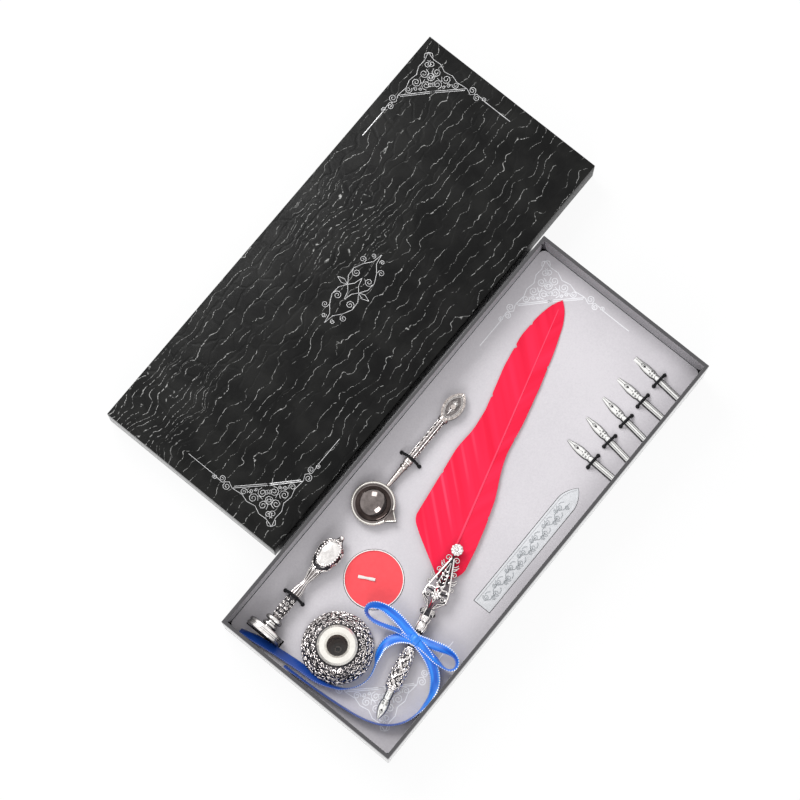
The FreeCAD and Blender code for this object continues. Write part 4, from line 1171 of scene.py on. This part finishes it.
nibs = {
    "first": (136.36, -47.4), "pitch": 16.9, "slants": (5.2, 3.3, 7.0, 7.6, 2.1), "back": 16.5, "long": 37.6,
    "seat": 16.1, "half": 2.9, "penLong": 28.4, "penHalf": 3.2, "penShow": 0.36, "spareShow": 0.01,
    "wire": 0.15, "heart": [(0.86, 0.1), (0.82, 0.3), (0.78, 0.26), (0.76, 0.0)],
    "tops": [(0, 0.82), (0.49, 0.8), (0.53, 0.68), (0.59, 0.64), (0.74, 0.54), (0.86, 0.38), (1, 0.17)],
}


def makeNibMarks(name, body, root, way, long, half, show):  # engraved lines and a vent on a nib's upper face, drawn dark as painted shade in the grooves and in the hole
    side = Vector((way.y, -way.x, 0))

    def spotOf(share, across):
        top = between(nibs["tops"], share) * math.sqrt(1 - (across * 0.8) ** 2)
        return (root + way * (share * long) + side * (across * half) + Vector((0, 0, top * half))) * mm

    lines = [[spotOf(show + (0.47 - show) * step / 8, across) for step in range(9)] for across in (-0.3, 0.22)]
    lines.append([spotOf(0.79 + 0.2 * step / 8, 0) for step in range(9)])
    for sign in (1, -1):
        for share in (0.59, 0.64):
            curl = spiral(0, 0, 0.24, 0.08, 1.2 * sign, 1.2 * sign, 9)
            lines.append([spotOf(share + p * half / long, 0.32 * sign + q) for p, q in curl])
        lines.append([spotOf(0.525, 0.5 * sign), spotOf(0.545, 0.0)])
        lines.append([spotOf(share, across * sign) for share, across in nibs["heart"]])
    vent = beads([(spotOf(0.79, 0), (0.5, 0.9, 0.2, math.atan2(-way.x, way.y)))])
    piece = joinPieces(wireMesh(lines, nibs["wire"]), vent)
    finishPiece(piece, name, body, "darkRecess")


for number, slant in enumerate(nibs["slants"]):
    bearing = math.radians(slant)
    way = Vector((math.sin(bearing), math.cos(bearing), 0))
    middle = Vector((nibs["first"][0] - number * nibs["pitch"], nibs["first"][1], nibs["seat"]))
    root = middle - way * (nibs["back"] / math.cos(bearing))
    label = number + 1
    sizes = nibs["long"], nibs["half"], nibs["spareShow"]
    makeNibMarks("nibMarks%d" % label, "nib_%d" % label, root, way, *sizes)
way = Vector((*pen["way"], 0))
sizes = nibs["penLong"], nibs["penHalf"], nibs["penShow"]
makeNibMarks("penNibMarks", "pen_point", Vector(pen["place"]) + way * nibs["penLong"], -way, *sizes)
makeGripScrolls()
makeNeck()
makeFiligree()
dress("oldSilver", "pen_ferrule", "pen_rosette")
# the plate and grip are dark under their bright wires: partly the blackened silver of the hollows, partly painted
# shade between the wires
dress("darkRecess", "pen_filigree", "pen_grip")
dress("nibSteel", "pen_nib", *("spare_nib_%d" % number for number in range(1, 6)))
print("pen holder dressed")


# ink pot: dense scrolls over its dark body

pot = {
    "place": (-125.28, 2.39), "base": 1.8, "arc": [(15.0, 1.2), (22.4, 15.6), (13.4, 27.0)], "columns": 23,
    "rows": 8, "firstRow": 0.1, "rowSpan": 0.82, "curl": (2.3, 0.45), "wire": 0.47, "bead": 0.6,
    "rimBeads": 30, "rimBead": 0.75,
}


def potSpot(turn, share, lift):
    a, b, c = (Vector(point) for point in pot["arc"])
    rise = (1 - share) ** 2 * a + 2 * share * (1 - share) * (2 * b - (a + c) / 2) + share ** 2 * c
    radius = rise.x + lift
    return (Vector((*pot["place"], pot["base"])) + Vector((*around(radius, turn), rise.y))) * mm


def makePotScrolls():
    lines, balls = [], []
    for row in range(pot["rows"]):
        share = pot["firstRow"] + pot["rowSpan"] * row / (pot["rows"] - 1)
        for number in range(pot["columns"]):
            middle = math.tau * (number + 0.5 * (row % 2)) / pot["columns"]
            curl = spiral(0, 0, *pot["curl"], number * 1.1 + row, 1.5 * (-1) ** (number + row), 13)
            lines.append([potSpot(middle + p / 19, share + q / 34, 0.15) for p, q in curl])
            balls.append((potSpot(middle + math.pi / pot["columns"], share + 0.01, 0.1), [pot["bead"]] * 3))
    for number in range(pot["rimBeads"]):
        balls.append((potSpot(math.tau * number / pot["rimBeads"], 0.985, 0.2), [pot["rimBead"]] * 3))
    piece = joinPieces(wireMesh(lines, pot["wire"]), beads(balls, 1))
    finishPiece(piece, "potScrolls", "ink_pot", "potSilver")


makePotScrolls()
dress("darkRecess", "ink_pot_body")
dress("brightSilver", "ink_pot_collar")
dress("wellLining", "ink_pot_well")


# melting spoon: waved grip and a ribbed leaf with an eye

spoon = {
    "place": (-40.9, 42.96, 19.6), "grip": (36.1, 68.8), "gripRadius": 2.3, "leaf": (68.8, 91.3),
    "leafHalf": 6.5, "leafTop": 1.2, "rim": 13.3, "rimTop": 1.15, "bead": 0.95, "spout": 18.2, "spoutGap": 20,
    "wire": 0.27, "ringWire": 0.5, "ribWire": 0.26, "lipWire": 0.45,
    "sleeve": [(14.6, 1.35), (29.4, 2.15), (29.8, 2.7), (31.0, 2.7), (31.4, 2.2), (33.0, 2.3)], "strands": 6,
    "sway": 0.42, "leafLines": (1.75, 2.35), "ribs": 48, "rings": [(33.5, 2.75), (35.6, 2.75), (69.0, 3.0)],
}


def spoonSpot(along, across, up):
    return (Vector(spoon["place"]) + Vector((along, across, up))) * mm


def spoonLeaf():  # middle and half length of the leaf
    start, end = spoon["leaf"]
    return (start + end) / 2, (end - start) / 2


def makeSpoonDetail():
    lines = []
    low, high = spoon["grip"]
    for strand in range(spoon["strands"]):
        points = []
        sway = spoon["sway"] if strand % 2 else 0.0
        for step in range(61):
            at = low + 0.8 + (high - low - 1.6) * step / 60
            turn = math.tau * strand / spoon["strands"] + sway * math.sin(step * 0.75)
            radius = spoon["gripRadius"] + 0.05
            points.append(spoonSpot(at, *around(radius, turn)))
        lines.append(points)
    middle, half = spoonLeaf()

    def leafSpot(bearing, inset):
        point = (half - inset * 1.5) * math.cos(bearing)
        across = (spoon["leafHalf"] - inset) * math.sin(bearing) * abs(math.sin(bearing)) ** 0.35
        return spoonSpot(middle + point, across, spoon["leafTop"])

    for inset in spoon["leafLines"]:
        lines.append([leafSpot(step * math.pi / 24, inset) for step in range(49)])
    bearings = [step * math.tau / spoon["ribs"] + 0.02 for step in range(spoon["ribs"])]
    ribs = [[leafSpot(bearing, 0.3), leafSpot(bearing, 1.6)] for bearing in bearings]
    veins = [spiral(2.4, 0, 1.9, 0.9, 0, 1.5, 18), [(-5.6, 0), (-0.4, 0)]]
    veins += [[(-4.2, 0), (-1.4, 1.9 * sign)] for sign in (1, -1)]
    lines += [[spoonSpot(middle + p, q, spoon["leafTop"]) for p, q in vein] for vein in veins]
    rings = [[spoonSpot(at, *around(radius, turn)) for turn in ringTurns] for at, radius in spoon["rings"]]
    eye = beads([(spoonSpot(middle + 2.4, 0, spoon["leafTop"] + 0.1), (1.0, 1.0, 0.7))])
    piece = joinPieces(wireMesh(lines, spoon["wire"]), wireMesh(rings, spoon["ringWire"], 2), eye)
    finishPiece(piece, "spoonRelief", "spoon", "reliefSilver")
    border = wireMesh(ribs, spoon["ribWire"])
    finishPiece(border, "spoonBorder", "spoon", "warmSilver")


def makeSpoonGround():  # dark ground under the waves and inside the leaf's border
    low, high = spoon["grip"]
    middle, half = spoonLeaf()

    def spotOf(along, turn):
        radius = spoon["gripRadius"] + 0.02
        return spoonSpot(low + 0.6 + (high - low - 1.2) * along, *around(radius, turn))

    def leafOf(along, across):
        bearing = math.tau * along
        out = across * (half - 2.9)
        wide = across * (spoon["leafHalf"] - 2.0) * abs(math.sin(bearing)) ** 0.35
        return spoonSpot(middle + out * math.cos(bearing), wide * math.sin(bearing), spoon["leafTop"] - 0.35)

    inset = formGrid(48, 6, leafOf)
    closeSeams(inset)
    piece = joinPieces(sleeve(spotOf, 30), inset)
    finishPiece(piece, "spoonGround", "spoon", "tarnished")


# the rim bead and lip take a brighter silver than the bowl: a painted highlight round the rim
def makeSpoonRim():
    gap = math.radians(spoon["spoutGap"])
    ring = []
    for step in range(73):
        turn = -math.pi / 2 + gap + (math.tau - 2 * gap) * step / 72
        ring.append(spoonSpot(*around(spoon["rim"], turn), spoon["rimTop"]))
    lip = [ring[-1], spoonSpot(0, -spoon["spout"], spoon["rimTop"]), ring[0]]
    piece = joinPieces(wireMesh([ring], spoon["bead"], 2), wireMesh([lip], spoon["lipWire"], 2))
    finishPiece(piece, "spoonRim", "spoon", "brightSilver")


def makeSpoonSleeve():  # tapered socket between the bowl and the grip
    profile = spoon["sleeve"]

    def spotOf(along, turn):
        at = profile[0][0] + (profile[-1][0] - profile[0][0]) * along
        radius = between(profile, at)
        return spoonSpot(at, *around(radius, turn))

    finishPiece(sleeve(spotOf, 48), "spoonSleeve", "spoon", "warmSilver")


makeSpoonRim()
makeSpoonSleeve()
makeSpoonGround()
makeSpoonDetail()
dress("warmSilver", "spoon_handle")
dress("nickel", "spoon_bowl")


# seal stamp: a cast handle with a framed oval, leaves on its neck and a ball on top

stamp = {
    "place": (-149.31, 43.8, 22.1), "head": 14.1, "long": 65.5, "wide": 8.0, "thick": 6.0,
    "shape": [
        (0, 0.37, 0.5), (0.08, 0.43, 0.58), (0.2, 0.41, 0.55), (0.3, 0.41, 0.55), (0.43, 0.22, 0.3),
        (0.58, 0.46, 0.57), (0.69, 0.84, 0.86), (0.79, 1.0, 1.0), (0.88, 0.86, 0.88), (0.955, 0.28, 0.36),
        (1.0, 0.14, 0.19),
    ],
    "oval": (0.79, 9.3, 6.0), "frameBeads": 30, "frameBead": 0.75, "topBall": 1.6, "wire": 0.36,
    "leafRows": 5, "leafPitch": 0.044, "leaves": 6, "ribs": 10,
    "sideCurls": [
        (0.58, 1.3), (0.6, 0.75), (0.63, 0.3), (0.66, 1.25), (0.68, 0.0), (0.72, 0.5), (0.75, 0.1),
        (0.8, -0.1), (0.85, 0.25), (0.89, 0.6), (0.92, 1.1),
    ],
    "headShape": [
        (0.3, 0.0), (0.3, 9.6), (0.0, 10.0), (0.0, 11.8), (0.2, 12.3), (0.7, 12.6), (2.0, 12.6), (2.3, 12.2),
        (3.1, 12.2), (3.4, 12.6), (4.6, 12.6), (5.2, 12.3), (5.5, 11.7), (5.5, 4.4), (5.7, 4.0), (6.0, 3.8),
        (6.4, 3.9), (6.6, 4.5), (7.0, 5.0), (7.9, 5.2), (8.7, 5.0), (9.1, 4.4), (9.3, 3.5), (10.1, 3.5),
        (10.3, 4.9), (10.7, 5.6), (11.8, 5.95), (12.9, 5.6), (13.4, 4.9), (14.1, 3.1), (14.1, 0.0),
    ],
}


def stampHalf(share):
    wide = eased([(at, wide) for at, wide, thick in stamp["shape"]], share)
    thick = eased([(at, thick) for at, wide, thick in stamp["shape"]], share)
    return wide * stamp["wide"], thick * stamp["thick"]


def stampSpot(share, turn, lift=0.0):
    wide, thick = stampHalf(share)
    along = stamp["head"] + share * stamp["long"]
    place = Vector((along, (wide + lift) * math.cos(turn), (thick + lift) * math.sin(turn)))
    return (Vector(stamp["place"]) + place) * mm


def onFace(share, across, lift):  # a spot on the handle's upper side
    wide, thick = stampHalf(share)
    rise = thick * math.sqrt(max(0.05, 1 - (across / wide) ** 2)) + lift
    return (Vector(stamp["place"]) + Vector((stamp["head"] + share * stamp["long"], across, rise))) * mm


def makeStampHandle():
    piece = sleeve(stampSpot, 90, 28)
    onlySelect(piece)
    bpy.ops.object.mode_set(mode="EDIT")
    bpy.ops.mesh.select_all(action="DESELECT")
    bpy.ops.mesh.select_non_manifold()
    bpy.ops.mesh.edge_face_add()
    bpy.ops.object.mode_set(mode="OBJECT")
    closeSeams(piece)
    finishPiece(piece, "stampHandle", "stamp", "tarnished")
    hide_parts("seal_handle")


def makeStampGround():  # dark ground behind the low leaves and round the framed oval
    low = sleeve(lambda along, turn: stampSpot(0.015 + 0.25 * along, turn, 0.02), 20)
    frame = sleeve(lambda along, turn: stampSpot(0.56 + 0.39 * along, turn, 0.02), 36, 40)
    piece = joinPieces(low, frame)
    finishPiece(piece, "stampGround", "stamp", "darkRecess")


def makeStampOval():  # the polished oval, raised just clear of its ground
    middle, ovalLong, ovalWide = stamp["oval"]

    def spotOf(along, across):
        bearing = math.tau * along
        share = middle + across * ovalLong * math.cos(bearing) / stamp["long"]
        side = across * ovalWide * math.sin(bearing)
        return onFace(share, side, 0.25)

    piece = formGrid(48, 10, spotOf)
    closeSeams(piece)
    applyModifier(piece, "SOLIDIFY", thickness=0.3 * mm, offset=-1)
    finishPiece(piece, "stampOval", "stamp", "sealPlate")


def makeStampRelief():
    lines, balls = [], []
    for row in range(stamp["leafRows"]):
        share = 0.03 + stamp["leafPitch"] * row
        for number in range(stamp["leaves"]):
            turn = math.tau * (number + 0.5 * (row % 2)) / stamp["leaves"]
            wide = stampHalf(share)[0]
            curl = spiral(0, 0, 0.42 * wide, 0.1 * wide, row + number, 1.3 * (-1) ** row, 11)
            lines.append([stampSpot(share + p / stamp["long"], turn + q / wide, 0.0) for p, q in curl])
    for number in range(stamp["ribs"]):
        turn = math.tau * number / stamp["ribs"]
        lines.append([stampSpot(0.28 + 0.3 * step / 16, turn, 0.0) for step in range(17)])
    middle, ovalLong, ovalWide = stamp["oval"]
    for number in range(stamp["frameBeads"]):
        bearing = math.tau * number / stamp["frameBeads"]
        across = ovalWide * math.sin(bearing)
        share = middle + ovalLong * math.cos(bearing) / stamp["long"]
        balls.append((onFace(share, across, 0.0), [stamp["frameBead"]] * 3))
    for sign in (1, -1):
        for at, turnStart in stamp["sideCurls"]:
            curl = spiral(0, 0, 1.9, 0.4, 0.5, 1.4 * sign, 12)
            middleTurn = math.pi / 2 + sign * (math.pi / 2 - turnStart)
            lines.append([stampSpot(at + p / stamp["long"], middleTurn + q / 6, 0.05) for p, q in curl])
    balls.append((stampSpot(0.985, math.pi / 2, -1.0), [stamp["topBall"]] * 3))
    piece = joinPieces(wireMesh(lines, stamp["wire"]), beads(balls))
    finishPiece(piece, "stampRelief", "stamp", "reliefSilver")


def makeSealHead():  # turned head: seal, neck and two round collars
    profile = stamp["headShape"]

    def spotOf(along, turn):
        at = along * (len(profile) - 1)
        step = min(int(at), len(profile) - 2)
        (x, radius), (nextX, nextRadius) = profile[step], profile[step + 1]
        share = at - step
        reach = radius + (nextRadius - radius) * share
        place = Vector((x + (nextX - x) * share, *around(reach, turn)))
        return (Vector(stamp["place"]) + place) * mm

    piece = sleeve(spotOf, len(profile) - 1, 64)
    finishPiece(piece, "sealHead", "seal", "sealPlate", 50)
    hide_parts("seal_head")


makeSealHead()
makeStampHandle()
makeStampGround()
makeStampOval()
makeStampRelief()
dress("oldSilver", "seal_stud")


# tea light, sealing wax and elastic loops

wick = {
    "place": (-77.6, 12.29, 16.35), "long": 11.0, "bearing": 118.0, "half": 0.95, "thick": 0.5,
    "sunk": 0.08, "flare": 0.12, "waves": 9,
}


def makeWick():
    bearing = math.radians(wick["bearing"])
    way, side = flatAxes(*around(1, bearing))

    def spotOf(along, turn):
        flare = 1 + wick["flare"] * math.sin(wick["waves"] * along)
        place = way * ((along - wick["sunk"]) * wick["long"]) + side * (wick["half"] * flare * math.cos(turn))
        return (Vector(wick["place"]) + place + Vector((0, 0, wick["thick"] * math.sin(turn)))) * mm

    piece = sleeve(spotOf, 24, 12)
    finishPiece(piece, "wickStrip", "candle", "wickThread", 70)
    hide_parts("candle_wick")


stick = {
    "low": -47.69, "high": 49.31, "middle": -50.98, "top": 15.7, "border": 1.9, "point": 12.0, "inset": 1.2,
    "tip": 2, "lead": 3, "curls": 13, "wire": 0.27,
}


def makeStickRelief():
    lines = []
    low, high = stick["low"] + stick["border"] + stick["inset"], stick["high"] - stick["point"] - stick["tip"]
    pitch = (high - low - 2 * stick["lead"]) / (stick["curls"] - 1)
    y = stick["middle"]
    for number in range(stick["curls"]):
        x = low + stick["lead"] + pitch * number
        side = (-1) ** number
        shapes = [
            spiral(x, y + 1.7 * side, 2.1, 0.5, 1.6 * side, 1.6 * side, 14),
            spiral(x + pitch / 2, y - 1.9 * side, 1.6, 0.4, -1.2 * side, -1.4 * side, 12),
            [(x - 2.2, y + 1.4 * side), (x + 0.6, y - 1.2 * side), (x + pitch, y - 1.6 * side)],
            [(x + 1.2, y + 3.4 * side), (x + 3.4, y + 3.0 * side), (x + 4.6, y + 1.6 * side)],
        ]
        lines += [[(p * mm, q * mm, stick["top"] * mm) for p, q in shape] for shape in shapes]
    # the scrolls take a darker copy of the wax colour: painted shade along the relief
    piece = wireMesh(lines, stick["wire"])
    finishPiece(piece, "stickScrolls", "wax", "stickShadeLines")


elastic = {"radius": 0.95, "end": 1.4, "endRise": 0.5, "top": 16.0, "foot": -2.7, "shoulder": 1.0, "keep": 0.3}
nibLoop = {"half": 5.0, "radius": 2.378, "crown": 3.578}
loops = {  # for each loop x, y, half width at the feet, half width and height at the crown, slant
    "spoonLoop": {"node": "spoon_elastic", "joint": "spoon_lift", "loops": [(-3.7, 42.96, 7.2, 2.3, 7.0, 0.0)]},
    "stampLoop": {"node": "stamp_elastic", "joint": "stamp_lift", "loops": [(-118.2, 43.8, 7.0, 3.3, 10.5, 0.0)]},
    "nibLoops": {"node": "nib_elastics", "joint": None, "loops": [
        (nibs["first"][0] - nibs["pitch"] * number, nibs["first"][1],
         nibLoop["half"], nibLoop["radius"], nibLoop["crown"], slant)
        for number, slant in enumerate(nibs["slants"])
    ]},
}


def makeLoops(name):
    look = loops[name]
    lines, balls = [], []
    for x, y, half, radius, crown, slant in look["loops"]:
        bearing = math.radians(slant)
        across = Vector((0, 1, 0)) if look["joint"] else Vector((math.cos(bearing), -math.sin(bearing), 0))
        foot, shoulder = elastic["foot"], elastic["shoulder"]
        route = ((-half, foot), (-half, shoulder), (-radius, crown), (radius, crown), (half, shoulder),
                 (half, foot))
        lines.append([(Vector((x, y, elastic["top"] + rise)) + across * side) * mm for side, rise in route])
        for side in (-half, half):
            end = (Vector((x, y, elastic["top"] + elastic["endRise"])) + across * side) * mm
            balls.append((end, [elastic["end"]] * 3))
    piece = joinPieces(wireMesh(lines, elastic["radius"], 3, True), beads(balls))
    finishPiece(piece, name, "tray", "elasticBraid")
    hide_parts(look["node"])
    if look["joint"]:
        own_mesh(piece)


makeWick()
makeStickRelief()
for name in loops:
    makeLoops(name)
dress("cupMetal", "candle_cup", "wick_tab")
dress("candleWax", "candle_wax")
dress("stickWax", "wax_stick")
print("small things dressed")
